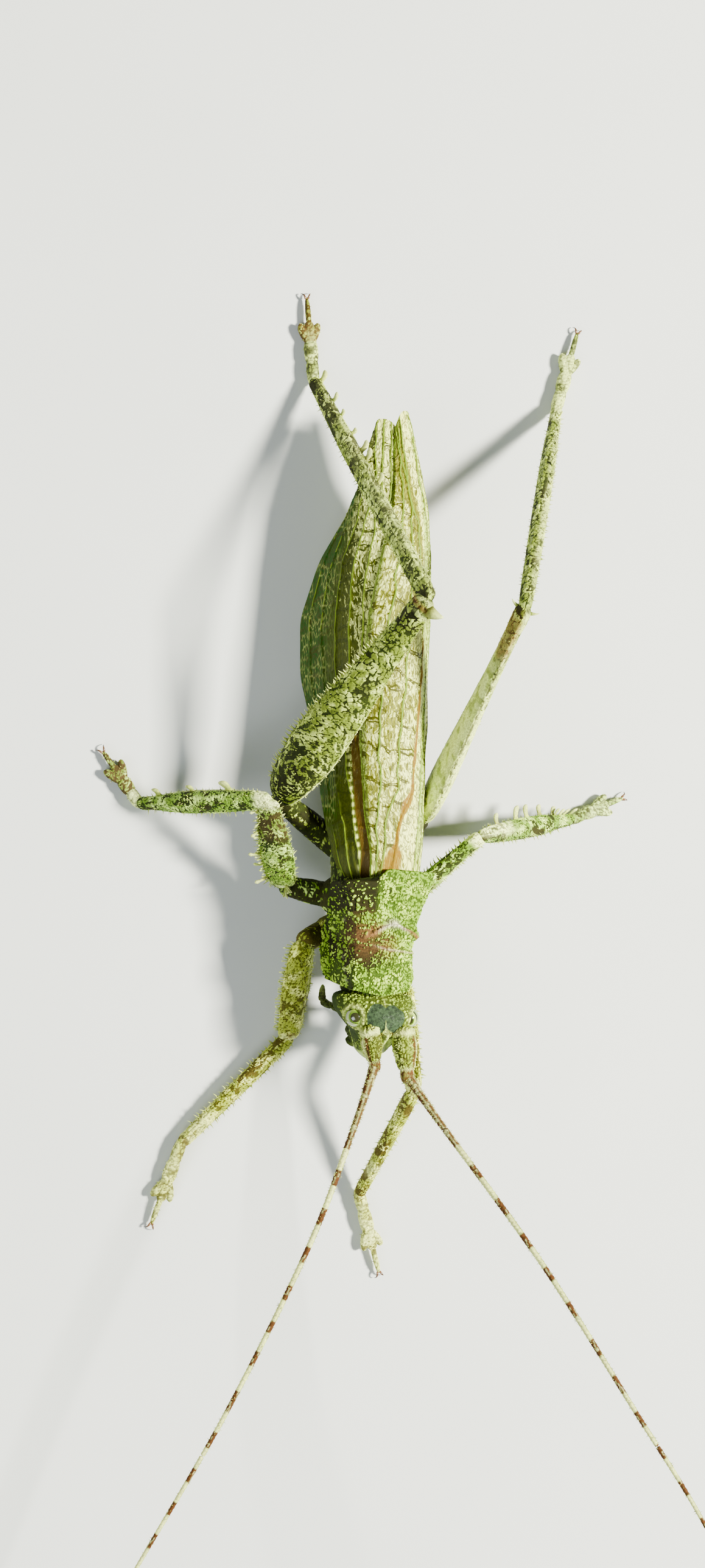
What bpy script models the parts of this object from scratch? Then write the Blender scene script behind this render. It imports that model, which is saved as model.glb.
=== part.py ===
"""Long-horned grasshopper of the bark-mimicking kind, life size, standing on six feet.

The head points to -Y, the wings to +Y, the animal's left side is +X, and the feet
stand on the plane z = 0. Every body region is its own closed solid.
"""

import math

import bmesh
import bpy
from mathutils import Matrix, Vector

MM = 0.001
GAP = 0.3

# The trunk frame: its origin is the middle of the thorax under the rear edge of the
# pronotum, y runs to the wing tips, x to the animal's left and z to its back.
THORAX_PLACE = Vector((1.0, 15.8, 6.9))
BODY_HEADING = math.radians(-3.2)
BODY_ROLL = math.radians(6.0)

PRONOTUM_LENGTH = 9.6
PRONOTUM_THICKNESS = 0.6
HEAD_SIDES = 16
HEAD_CENTRE = Vector((0.6, -12.0, 0.0))
EYE_RADIUS = 0.8
EYE_OFFSET = Vector((2.25, 0.7, 2.35))

TEGMEN_LENGTHS = {"left": 36.6, "right": 35.8}
TEGMEN_THICKNESS = 0.5
ABDOMEN_LENGTH = 15.5
OVIPOSITOR_LENGTH = 10.4
ABDOMEN_TURN = math.radians(3.0)

ANKLE_HEIGHT = 1.05
FOOT_HEIGHT = 0.5
LEG_LENGTHS = {
    # femur, tibia, tarsus
    "fore": (9.0, 12.0, 7.0),
    "mid": (9.2, 12.5, 5.1),
    "hind": (20.6, 25.6, 6.9),
}
LEG_POSES = {
    # coxa base, hip, femur heading, knee height, tibia heading, tarsus heading, femur twist
    "fore_left": ((2.1, -6.6, 3.2), (3.4, -9.4, 4.1), -92.5, 8.3, -106, -75, 0),
    "fore_right": ((-2.7, -5.0, 2.2), (-5.4, -5.5, 5.8), -92.4, 1.9, -136, -110, 0),
    "mid_left": ((1.7, -1.4, 3.4), (3.1, -2.9, 3.8), 46, 8.3, 6.5, 21, 0),
    "mid_right": ((-2.6, -2.0, 3.6), (-6.8, -1.1, 4.4), 107.5, 9.9, -177, 124, 0),
    "hind_left": ((2.6, 2.2, 3.9), (4.5, 4.3, 5.8), 73.5, 17.5, 65.5, 73, 0),
    "hind_right": ((-2.9, 2.6, 3.9), (-7.9, 6.0, 7.4), 57.5, 17.6, 105.2, 94, 35),
}
ANTENNA_LENGTH_PARTS = (0.18, 0.55)
ANTENNA_ROUTES = {
    "left": (
        (1.95, -15.9, 10.3), (3.9, -19.2, 12.5), (9.9, -29.1, 19.5),
        (15.3, -39.2, 25.0), (19.8, -47.4, 28.0), (25.0, -58.5, 29.6), (31.0, -72.5, 28.4),
    ),
    "right": (
        (-0.49, -15.1, 9.6), (-2.9, -19.9, 12.0), (-6.7, -28.3, 13.5),
        (-12.9, -40.5, 13.0), (-19.2, -52.0, 11.0), (-26.2, -65.0, 8.2), (-33.0, -78.5, 5.5),
    ),
}


def clear_scene():
    for old in list(bpy.data.objects):
        bpy.data.objects.remove(old, do_unlink=True)


def collection(name):
    made = bpy.data.collections.new(name)
    bpy.context.scene.collection.children.link(made)
    return made


def material(name, colour, roughness):
    made = bpy.data.materials.new(name)
    made.use_nodes = True
    shader = made.node_tree.nodes["Principled BSDF"]
    shader.inputs["Base Color"].default_value = (*colour, 1.0)
    shader.inputs["Roughness"].default_value = roughness
    shader.inputs["Metallic"].default_value = 0.0
    made.diffuse_color = (*colour, 1.0)
    return made


def body_point(x, y, z):
    """A point of the trunk frame, in the object's frame and millimetres."""
    turn = Matrix.Rotation(BODY_HEADING, 3, "Z") @ Matrix.Rotation(BODY_ROLL, 3, "Y")
    return THORAX_PLACE + turn @ Vector((x, y, z))


def place(x, y, z):
    """A point on the floor frame below the thorax, in the object's frame."""
    return Vector((THORAX_PLACE.x + x, THORAX_PLACE.y + y, z))


def mix(a, b, share):
    return a + (b - a) * share


def along(stations, position):
    """Reads a table of (position, value, ...) rows, smoothly between its rows."""
    if position <= stations[0][0]:
        return stations[0][1:]
    for low, high in zip(stations, stations[1:]):
        if position <= high[0]:
            share = (position - low[0]) / (high[0] - low[0])
            return tuple(mix(a, b, share) for a, b in zip(low[1:], high[1:]))
    return stations[-1][1:]


def superellipse(angle, power):
    """The unit superellipse: power 1 is a circle and lower values are squarer."""
    across = math.copysign(abs(math.cos(angle)) ** power, math.cos(angle))
    up = math.copysign(abs(math.sin(angle)) ** power, math.sin(angle))
    return across, up


def ring(centre, side, up, half_side, half_up, count, power=1.0, half_down=None):
    """Points round a section. The lower half may be deeper than the upper one."""
    lower = half_up if half_down is None else half_down
    points = []
    for step in range(count):
        across, height = superellipse(math.tau * step / count, power)
        depth = half_up if height > 0 else lower
        points.append(centre + side * (across * half_side) + up * (height * depth))
    return points


def loft(rings):
    """A closed bmesh through the rings, its ends closed by fans."""
    bm = bmesh.new()
    rows = [[bm.verts.new(point * MM) for point in points] for points in rings]
    count = len(rows[0])
    for low, high in zip(rows, rows[1:]):
        for step in range(count):
            after = (step + 1) % count
            bm.faces.new((low[step], low[after], high[after], high[step]))
    for row in (rows[0], rows[-1]):
        middle = sum((vert.co for vert in row), Vector()) / count
        centre = bm.verts.new(middle)
        for step in range(count):
            bm.faces.new((row[step], row[(step + 1) % count], centre))
    bmesh.ops.recalc_face_normals(bm, faces=bm.faces)
    bm.faces.ensure_lookup_table()
    return bm


def grow_spines(bm, face_numbers, length, lean=None, tip_share=0.25):
    """Draws the chosen faces out into short tapered spines."""
    faces = [bm.faces[number] for number in face_numbers]
    grown = bmesh.ops.extrude_discrete_faces(bm, faces=faces)["faces"]
    for face in grown:
        centre = face.calc_center_median()
        direction = face.normal if lean is None else (face.normal + lean).normalized()
        for vert in face.verts:
            vert.co = centre + (vert.co - centre) * tip_share + direction * (length * MM)
    bm.faces.ensure_lookup_table()


def grow_peak(bm, faces, reach):
    """Draws neighbouring faces out together into one blunt peak."""
    grown = bmesh.ops.extrude_face_region(bm, geom=faces)["geom"]
    verts = [item for item in grown if isinstance(item, bmesh.types.BMVert)]
    bmesh.ops.delete(bm, geom=faces, context="FACES_ONLY")
    middle = sum((vert.co for vert in verts), Vector()) / len(verts)
    for vert in verts:
        vert.co = middle + (vert.co - middle) * 0.45 + reach * MM
    bm.faces.ensure_lookup_table()


def add_solid(name, bm, finish, group, smooth=False):
    mesh = bpy.data.meshes.new(name)
    bmesh.ops.triangulate(bm, faces=bm.faces)
    bmesh.ops.recalc_face_normals(bm, faces=bm.faces)
    bm.to_mesh(mesh)
    bm.free()
    mesh.materials.append(finish)
    if smooth:
        mesh.shade_smooth()
    made = bpy.data.objects.new(name, mesh)
    group.objects.link(made)
    return made


def add_sheet(name, rows, thickness, finish, group):
    """An open grid of points, given its thickness by Solidify on its inner side."""
    bm = bmesh.new()
    verts = [[bm.verts.new(point * MM) for point in row] for row in rows]
    for low, high in zip(verts, verts[1:]):
        for step in range(len(low) - 1):
            bm.faces.new((low[step], low[step + 1], high[step + 1], high[step]))
    mesh = bpy.data.meshes.new(name)
    bm.to_mesh(mesh)
    bm.free()
    mesh.materials.append(finish)
    made = bpy.data.objects.new(name, mesh)
    group.objects.link(made)
    solidify = made.modifiers.new("thickness", "SOLIDIFY")
    solidify.thickness = thickness * MM
    solidify.offset = -1.0
    solidify.use_even_offset = False
    return made


# ---------------------------------------------------------------- trunk

THORAX_SECTIONS = (
    # y, half width, height above the axis, depth below it
    (-9.1, 1.5, 1.9, 1.5),
    (-8.2, 2.0, 2.7, 2.1),
    (-5.0, 2.1, 2.9, 2.4),
    (-1.5, 2.6, 3.0, 2.6),
    (0.6, 2.6, 2.6, 2.6),
    (1.6, 2.3, 1.9, 2.2),
)
ABDOMEN_SECTIONS = (
    # share of the length, half width, height, depth
    (0.0, 1.9, 1.5, 1.9),
    (0.08, 2.35, 1.9, 2.5),
    (0.35, 2.6, 1.8, 3.0),
    (0.65, 2.3, 1.5, 2.6),
    (0.85, 1.7, 1.1, 1.8),
    (1.0, 0.9, 0.5, 0.8),
)
ABDOMEN_START = 2.1
ABDOMEN_DROP = 0.9
ABDOMEN_RINGS = 17
HEAD_SECTIONS = (
    # z, shift forward, half width, half depth
    (3.95, -0.5, 0.9, 0.8),
    (3.65, -0.5, 1.6, 1.25),
    (2.9, -0.5, 2.25, 1.45),
    (1.9, -0.3, 2.5, 1.7),
    (0.9, 0.0, 2.55, 2.0),
    (-0.6, 0.1, 2.5, 2.05),
    (-2.0, 0.2, 2.15, 1.8),
    (-3.0, 0.3, 1.7, 1.45),
)
PEAK_LENGTH = 1.0


def trunk_loft(stations, count, power=0.9):
    rings = []
    for y, half_width, height, depth in stations:
        centre = body_point(0, y, 0)
        side = body_point(1, y, 0) - centre
        up = body_point(0, y, 1) - centre
        rings.append(ring(centre, side, up, half_width, height, count, power, depth))
    return loft(rings)


def add_thorax(finish, group):
    return add_solid("thorax", trunk_loft(THORAX_SECTIONS, 16), finish, group)


def abdomen_point(distance, x, z):
    """A point of the abdomen, whose axis is turned a little to the right."""
    side = -distance * math.sin(ABDOMEN_TURN)
    return body_point(side + x, ABDOMEN_START + distance * math.cos(ABDOMEN_TURN), z)


def add_abdomen(finish, group):
    """Ten rings of plates: each is full at its rear edge and drawn in before the next."""
    rings = []
    for number in range(ABDOMEN_RINGS):
        share = number / (ABDOMEN_RINGS - 1)
        half_width, height, depth = along(ABDOMEN_SECTIONS, share)
        waist = 0.94 if number % 2 else 1.0
        distance = share * ABDOMEN_LENGTH
        centre = abdomen_point(distance, 0, -ABDOMEN_DROP)
        side = abdomen_point(distance, 1, -ABDOMEN_DROP) - centre
        up = abdomen_point(distance, 0, 1 - ABDOMEN_DROP) - centre
        rings.append(
            ring(centre, side, up, half_width * waist, height * waist, 14, 0.95, depth * waist)
        )
    return add_solid("abdomen", loft(rings), finish, group)


OVIPOSITOR_RINGS = 9
OVIPOSITOR_DROP = 1.4
OVIPOSITOR_RISE = 0.6
OVIPOSITOR_HALF_HEIGHT = 0.8
OVIPOSITOR_HALF_WIDTHS = (0.4, 0.28)


def add_ovipositor(finish, group):
    """A broad blade, flat from side to side, that curves up to a rounded point."""
    rings = []
    for step in range(OVIPOSITOR_RINGS):
        share = step / (OVIPOSITOR_RINGS - 1)
        distance = ABDOMEN_LENGTH + GAP + share * OVIPOSITOR_LENGTH
        height = OVIPOSITOR_RISE * share * share - OVIPOSITOR_DROP
        half_height = OVIPOSITOR_HALF_HEIGHT * math.sqrt(max(0.05, 1 - share ** 3))
        centre = abdomen_point(distance, 0, height)
        side = abdomen_point(distance, 1, height) - centre
        up = abdomen_point(distance, 0, height + 1) - centre
        rings.append(ring(centre, side, up, mix(*OVIPOSITOR_HALF_WIDTHS, share), half_height, 8))
    return add_solid("ovipositor", loft(rings), finish, group)


# distance along the abdomen's axis, x, z, radius
CERCUS_STATIONS = ((15.0, 1.5, -1.1, 0.36), (15.5, 1.8, -1.1, 0.32), (15.9, 2.0, -1.1, 0.26))


def add_cercus(side_name, sign, finish, group):
    """A short pointed feeler at each side of the tail."""
    points = [abdomen_point(distance, sign * x, z) for distance, x, z, _ in CERCUS_STATIONS]
    radii = [station[3] for station in CERCUS_STATIONS]
    add_solid("cercus_" + side_name, limb(points, radii, 6), finish, group)


PRONOTUM_STATIONS = (
    # share from the front, disc half width, lobe half width, top height, lobe depth
    (0.0, 2.45, 2.95, 3.7, -1.7),
    (0.12, 2.55, 3.1, 4.0, -2.3),
    (0.3, 2.4, 3.2, 4.0, -2.4),
    (0.42, 2.4, 3.2, 3.9, -2.3),
    (0.5, 2.6, 3.2, 4.6, -2.0),
    (0.58, 2.55, 3.1, 4.0, -1.6),
    (0.75, 3.0, 3.2, 4.2, -0.8),
    (0.9, 3.5, 3.6, 4.5, 0.0),
    (1.0, 3.7, 3.7, 4.6, 0.9),
)


def pronotum_profile(share, turn):
    """A point of the saddle: turn runs from -1 at the right edge to 1 at the left one."""
    disc, lobe, top, low = along(PRONOTUM_STATIONS, share)
    amount = abs(turn)
    if amount < 0.45:
        part = amount / 0.45
        x = disc * part
        z = top - 0.5 * part ** 3
    else:
        part = (amount - 0.45) / 0.55
        x = disc + (lobe - disc) * math.sin(part * math.pi / 2) ** 1.3
        z = mix(top - 0.5, low, part ** 0.85)
    return math.copysign(x, turn), z


def add_pronotum(finish, group):
    """The saddle-shaped shield over the thorax, with a raised cross ridge and knobs."""
    rows = []
    steps_along = 15
    steps_round = 15
    for row in range(steps_along):
        share = row / (steps_along - 1)
        points = []
        for column in range(steps_round):
            turn = 2 * column / (steps_round - 1) - 1
            x, z = pronotum_profile(share, turn)
            knob = 0.16 * (1 if (row + column) % 2 else 0)
            y = -PRONOTUM_LENGTH * (1 - share) + 0.35 * abs(turn) * (1 - 2 * share)
            points.append(body_point(x * (1 + 0.04 * knob), y, z + knob))
        rows.append(points)
    return add_sheet("pronotum", rows, PRONOTUM_THICKNESS, finish, group)


# ---------------------------------------------------------------- head


def head_point(x, y, z):
    return body_point(HEAD_CENTRE.x + x, HEAD_CENTRE.y + y, HEAD_CENTRE.z + z)


def eye_point(sign):
    return head_point(sign * EYE_OFFSET.x, EYE_OFFSET.y, EYE_OFFSET.z)


def sphere(name, centre, radius, finish, group):
    bm = bmesh.new()
    bmesh.ops.create_uvsphere(bm, u_segments=12, v_segments=8, radius=radius * MM)
    bmesh.ops.translate(bm, verts=bm.verts, vec=centre * MM)
    return add_solid(name, bm, finish, group, smooth=True)


def add_head(finish, group, cutters):
    """A deep head capsule with a socket for each eye and a small peak in front."""
    rings = []
    for z, forward, half_width, half_depth in HEAD_SECTIONS:
        centre = head_point(0, -forward, z)
        side = head_point(1, -forward, z) - centre
        front = head_point(0, -forward - 1, z) - centre
        rings.append(ring(centre, side, front, half_width, half_depth, HEAD_SIDES, 0.92))
    shape = loft(rings)
    front_column = HEAD_SIDES // 4
    peak = [shape.faces[HEAD_SIDES + front_column - 1], shape.faces[HEAD_SIDES + front_column]]
    grow_peak(shape, peak, head_point(0, -PEAK_LENGTH, 3.2) - head_point(0, 0, 3.2))
    head = add_solid("head", shape, finish, group)
    for sign, side_name in ((1, "left"), (-1, "right")):
        cutter = sphere("socket_" + side_name, eye_point(sign), EYE_RADIUS + GAP, finish, cutters)
        cutter.hide_render = True
        cutter.display_type = "WIRE"
        cut = head.modifiers.new("socket_" + side_name, "BOOLEAN")
        cut.operation = "DIFFERENCE"
        cut.object = cutter
    return head


def limb(points, radii, count, flat=1.0):
    """A loft along a short route of points, upright sections with given radii."""
    rings = []
    for number, (point, radius) in enumerate(zip(points, radii)):
        before = points[max(0, number - 1)]
        after = points[min(len(points) - 1, number + 1)]
        axis = (after - before).normalized()
        side = axis.cross(Vector((0, 0, 1))).normalized()
        up = side.cross(axis)
        rings.append(ring(point, side, up, radius, radius * flat, count))
    return loft(rings)


MOUTHPARTS = {
    # stations of x, y, z from the head's centre, radius; then the number of sides
    "mandible": (((1.0, -0.6, -3.4, 0.45), (0.75, -0.8, -3.95, 0.42), (0.4, -0.9, -4.3, 0.15)), 8),
    "palp_maxillary": (
        ((1.1, 0.6, -3.4, 0.28), (1.9, 1.1, -4.1, 0.28), (2.7, 1.7, -3.9, 0.27), (3.0, 2.7, -3.5, 0.3)),
        6,
    ),
    "palp_labial": (((0.4, 0.5, -3.5, 0.25), (0.8, 0.5, -4.4, 0.25), (1.0, 0.1, -5.0, 0.28)), 6),
}
LABRUM_STATIONS = ((-1.45, -3.35, 0.8), (-1.5, -3.8, 0.75), (-1.4, -4.3, 0.4))
LABRUM_FLATNESS = 0.35


def add_mouthparts(side_name, sign, finish, group):
    """A toothed jaw, a long outer feeler and a short inner one, all below the cheek."""
    for kind, (stations, count) in MOUTHPARTS.items():
        points = [head_point(sign * x, y, z) for x, y, z, _ in stations]
        radii = [station[3] for station in stations]
        add_solid(f"{kind}_{side_name}", limb(points, radii, count), finish, group)


def add_labrum(finish, group):
    """The upper lip, a small rounded plate in front of the jaws."""
    points = [head_point(0, y, z) for y, z, _ in LABRUM_STATIONS]
    radii = [station[2] for station in LABRUM_STATIONS]
    add_solid("labrum", limb(points, radii, 8, LABRUM_FLATNESS), finish, group)


def smooth_route(controls, count):
    """Points at even steps of a Catmull-Rom curve through the control points."""
    controls = [Vector(point) for point in controls]
    padded = [2 * controls[0] - controls[1], *controls, 2 * controls[-1] - controls[-2]]
    spans = len(controls) - 1
    points = []
    for number in range(count):
        position = number / (count - 1) * spans
        span = min(int(position), spans - 1)
        t = position - span
        p0, p1, p2, p3 = padded[span : span + 4]
        points.append(
            0.5 * (2 * p1 + (p2 - p0) * t + (2 * p0 - 5 * p1 + 4 * p2 - p3) * t ** 2
            + (3 * p1 - p0 - 3 * p2 + p3) * t ** 3)
        )
    return points


def add_thread(name, points, radii, finish, group):
    """A stretch of feeler: a curve with a bevel, tapered by its points' radii."""
    curve = bpy.data.curves.new(name, "CURVE")
    curve.dimensions = "3D"
    curve.bevel_depth = MM
    curve.bevel_resolution = 1
    curve.use_fill_caps = True
    spline = curve.splines.new("POLY")
    spline.points.add(len(points) - 1)
    for target, point, radius in zip(spline.points, points, radii):
        target.co = (*(point * MM), 1.0)
        target.radius = radius
    curve.materials.append(finish)
    made = bpy.data.objects.new(name, curve)
    group.objects.link(made)
    return made


SCAPE_SOCKET = Vector((1.3, -1.6, 3.3))
# share of the way from the socket to the thread's start, radius
SCAPE_STATIONS = ((0.27, 0.46), (0.36, 0.64), (0.52, 0.7), (0.8, 0.5), (0.87, 0.36))
THREAD_POINTS = 30
THREAD_RADII = (0.38, 0.25)


def add_antenna(side_name, finish, group):
    """A thick first joint on the face, then a thread in three lengths."""
    sign = 1 if side_name == "left" else -1
    route = [place(*point) for point in ANTENNA_ROUTES[side_name]]
    socket = head_point(sign * SCAPE_SOCKET.x, SCAPE_SOCKET.y, SCAPE_SOCKET.z)
    scape = [socket.lerp(route[0], share) for share, _ in SCAPE_STATIONS]
    radii = [radius for _, radius in SCAPE_STATIONS]
    add_solid(f"antenna_{side_name}_scape", limb(scape, radii, 8), finish, group)
    points = smooth_route(route, THREAD_POINTS)
    first, second = (round(share * len(points)) for share in ANTENNA_LENGTH_PARTS)
    for part_name, start, end in (
        ("base", 0, first), ("middle", first, second), ("tip", second, len(points) - 1)
    ):
        piece = [point.copy() for point in points[start : end + 1]]
        heading = (piece[1] - piece[0]).normalized()
        piece[0] = piece[0] + heading * GAP
        radii = [mix(*THREAD_RADII, (start + number) / THREAD_POINTS) for number in range(len(piece))]
        add_thread(f"antenna_{side_name}_{part_name}", piece, radii, finish, group)


# ---------------------------------------------------------------- wings

TEGMEN_STEPS_ALONG = 14
TEGMEN_STEPS_ACROSS = 9
BACK_SHARE = 0.55
TEGMEN_STATIONS = (
    # share of the length, overlap past the midline, ridge, bend half width, edge half width, edge height
    (0.0, 1.6, 4.3, 2.7, 3.2, 1.0),
    (0.12, 2.3, 4.1, 3.0, 3.3, -0.4),
    (0.28, 2.6, 3.8, 3.2, 4.4, -3.0),
    (0.42, 2.5, 3.4, 3.3, 5.4, -4.5),
    (0.55, 2.2, 2.9, 3.3, 5.6, -4.7),
    (0.68, 1.6, 2.4, 3.1, 4.7, -3.4),
    (0.78, 0.8, 1.8, 2.7, 3.3, -1.6),
    (0.88, 0.2, 1.0, 2.2, 2.3, -0.9),
    (0.96, -0.2, 0.5, 1.7, 1.8, -0.7),
    (1.0, -0.4, 0.2, 1.3, 1.4, -0.6),
)


def ease(share):
    share = min(1.0, max(0.0, share))
    return share * share * (3 - 2 * share)


def tegmen_point(length, share, turn, sign, lower):
    """A point of a fore wing: turn 0 is the edge on the back, 1 the edge at the side."""
    overlap, ridge, bend, edge, low = along(TEGMEN_STATIONS, share)
    shoulder_drop = 0.28 * (ridge - low)
    if turn < BACK_SHARE:
        x = mix(-overlap, bend, turn / BACK_SHARE)
        z = ridge - shoulder_drop * abs(x / bend) ** 2.4
    else:
        side = (turn - BACK_SHARE) / (1 - BACK_SHARE)
        x = bend + (edge - bend) * side ** 1.3 + 0.25 * math.sin(math.pi * side)
        z = mix(ridge - shoulder_drop, low, side)
    sunk = lower * (1 - 0.8 * ease((turn - 0.5) / 0.3))
    tip_round = 1.6 * abs(2 * turn - 0.95) ** 2.5 * ease((share - 0.75) / 0.25)
    y = GAP + length * share - tip_round
    return body_point(sign * x, y, z - sunk)


def add_tegmen(side_name, finish, group):
    """A fore wing. The left one lies over the right one along the back."""
    sign, lower = (1, 0.0) if side_name == "left" else (-1, TEGMEN_THICKNESS + 1.3 * GAP)
    rows = []
    for row in range(TEGMEN_STEPS_ALONG + 1):
        share = math.sin(0.5 * math.pi * row / TEGMEN_STEPS_ALONG) ** 0.9
        points = [
            tegmen_point(TEGMEN_LENGTHS[side_name], share, column / TEGMEN_STEPS_ACROSS, sign, lower)
            for column in range(TEGMEN_STEPS_ACROSS + 1)
        ]
        rows.append(points if sign > 0 else points[::-1])
    return add_sheet("tegmen_" + side_name, rows, TEGMEN_THICKNESS, finish, group)


# ---------------------------------------------------------------- legs

LEG_SIDES = 8
LEG_STEPS = {"fore": (9, 8), "mid": (9, 8), "hind": (16, 13)}
JOINT_CLEARANCE = 1.05
FEMUR_SPINE_COLUMNS = (1, 2, 5)
TIBIA_SPINE_COLUMNS = (1, 6)
COXA_SHAPE = ((0.0, 0.65, 0.65), (0.5, 0.75, 0.75), (1.0, 0.5, 0.5))
FEMUR_SHAPES = {
    # share of the length, half thickness, half breadth
    "fore": ((0.0, 0.5, 0.65), (0.12, 0.6, 1.1), (0.5, 0.6, 1.25), (0.85, 0.55, 1.0), (1.0, 0.5, 0.75)),
    "mid": ((0.0, 0.5, 0.65), (0.12, 0.65, 1.3), (0.4, 0.65, 1.45), (0.8, 0.55, 0.95), (1.0, 0.5, 0.7)),
    "hind": (
        (0.0, 0.5, 0.8), (0.06, 0.8, 1.7), (0.22, 0.9, 2.3), (0.4, 0.8, 2.0),
        (0.7, 0.6, 1.25), (0.93, 0.6, 0.95), (1.0, 0.55, 0.75),
    ),
}
TIBIA_SHAPES = {
    "fore": ((0.0, 0.45, 0.55), (0.12, 0.5, 0.7), (0.6, 0.5, 0.65), (1.0, 0.42, 0.5)),
    "mid": ((0.0, 0.45, 0.55), (0.12, 0.55, 0.8), (0.6, 0.55, 0.75), (1.0, 0.42, 0.5)),
    "hind": ((0.0, 0.5, 0.7), (0.1, 0.6, 0.85), (0.6, 0.55, 0.75), (1.0, 0.45, 0.5)),
}
TARSUS_SHAPE = (
    # share of the length, half width, height above the axis
    (0.0, 0.42, 0.45), (0.2, 0.55, 0.4), (0.24, 0.4, 0.35), (0.42, 0.6, 0.4), (0.46, 0.42, 0.35),
    (0.66, 0.8, 0.42), (0.72, 0.3, 0.3), (0.9, 0.26, 0.3), (1.0, 0.28, 0.3),
)
PAD_HALF_WIDTH = 0.5
SOLE_DEPTHS = {"pad": 1.6, "waist": 0.75}
CLAW_LENGTH = 0.55
SPINE_LENGTHS = {"fore": 0.55, "mid": 0.6, "hind": 0.7}


def heading_vector(degrees):
    return Vector((math.cos(math.radians(degrees)), math.sin(math.radians(degrees)), 0.0))


def step_to_height(start, heading, length, height):
    """The end of a leg segment of this length that ends at this height."""
    rise = height - start.z
    run = math.sqrt(length ** 2 - rise ** 2)
    return start + heading_vector(heading) * run + Vector((0, 0, rise))


def leg_joints(leg_name):
    """Coxa base, hip, knee, ankle and foot tip of one leg."""
    base, hip, femur_heading, knee_height, tibia_heading, tarsus_heading, _ = LEG_POSES[leg_name]
    femur_length, tibia_length, tarsus_length = LEG_LENGTHS[leg_name.split("_")[0]]
    start = place(*base)
    hip_point = place(*hip)
    knee = step_to_height(hip_point, femur_heading, femur_length, knee_height)
    ankle = step_to_height(knee, tibia_heading, tibia_length, ANKLE_HEIGHT)
    foot = step_to_height(ankle, tarsus_heading, tarsus_length, FOOT_HEIGHT)
    return start, hip_point, knee, ankle, foot


def segment_rings(start, end, mitre_start, mitre_end, hinge, shares, shape, twist, power):
    """Rings of a leg segment whose end sections lie in its joints' mitre planes."""
    axis = (end - start).normalized()
    rings = []
    for share in shares:
        half_thick, half_broad = along(shape, share)
        if share <= 0.0:
            normal = mitre_start
            centre = start + mitre_start * (0.5 * GAP)
        elif share >= 1.0:
            normal = mitre_end
            centre = end - mitre_end * (0.5 * GAP)
        else:
            normal = axis
            centre = start + (end - start) * share
        broad = normal.cross(hinge).normalized()
        side = broad.cross(normal).normalized()
        half_broad /= max(0.5, normal.dot(axis))
        if 0.0 < share < 1.0:
            twisted = twist * math.sin(math.pi * min(1.0, 1.15 * (1 - share)))
            turn = Matrix.Rotation(twisted, 3, axis)
            broad = turn @ broad
            side = turn @ side
        rings.append(ring(centre, side, broad, half_thick, half_broad, LEG_SIDES, power))
    return rings


def spaced_shares(count, length):
    """Even steps between two end sections that stay clear of the joints."""
    ends = JOINT_CLEARANCE / length
    inner = [ends + (1 - 2 * ends) * step / (count - 1) for step in range(count)]
    return [0.0, *inner, 1.0]


def spine_faces(rings, columns):
    """Every second face, along the named columns of a segment."""
    return [row * LEG_SIDES + column for row in range(2, rings - 2, 2) for column in columns]


def add_leg(leg_name, finish, group):
    """Coxa, femur, tibia and tarsus, which meet in thin cuts across the joints."""
    pair = leg_name.split("_")[0]
    start, hip, knee, ankle, foot = leg_joints(leg_name)
    stops = (start, hip, knee, ankle, foot)
    directions = [(after - before).normalized() for before, after in zip(stops, stops[1:])]
    mitres = [(before + after).normalized() for before, after in zip(directions, directions[1:])]
    hinge = directions[1].cross(directions[2]).normalized()
    twist = math.radians(LEG_POSES[leg_name][6])

    coxa_shares = (0.0, 0.3, 0.6, 1.0)
    coxa_ends = (start, hip, directions[0], mitres[0])
    coxa = segment_rings(*coxa_ends, hinge, coxa_shares, COXA_SHAPE, 0.0, 1.0)
    add_solid(f"leg_{leg_name}_coxa", loft(coxa), finish, group)

    femur_steps, tibia_steps = LEG_STEPS[pair]
    femur_ends = (hip, knee, mitres[0], mitres[1])
    femur_shares = spaced_shares(femur_steps, (knee - hip).length)
    femur = loft(segment_rings(*femur_ends, hinge, femur_shares, FEMUR_SHAPES[pair], twist, 1.1))
    grow_spines(femur, spine_faces(femur_steps + 1, FEMUR_SPINE_COLUMNS), SPINE_LENGTHS[pair])
    add_solid(f"leg_{leg_name}_femur", femur, finish, group)

    tibia_ends = (knee, ankle, mitres[1], mitres[2])
    tibia_shares = spaced_shares(tibia_steps, (ankle - knee).length)
    tibia = loft(segment_rings(*tibia_ends, hinge, tibia_shares, TIBIA_SHAPES[pair], 0.0, 1.0))
    grow_spines(tibia, spine_faces(tibia_steps + 1, TIBIA_SPINE_COLUMNS), SPINE_LENGTHS[pair])
    add_solid(f"leg_{leg_name}_tibia", tibia, finish, group)
    add_tarsus(leg_name, ankle, foot, mitres[2], finish, group)


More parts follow.
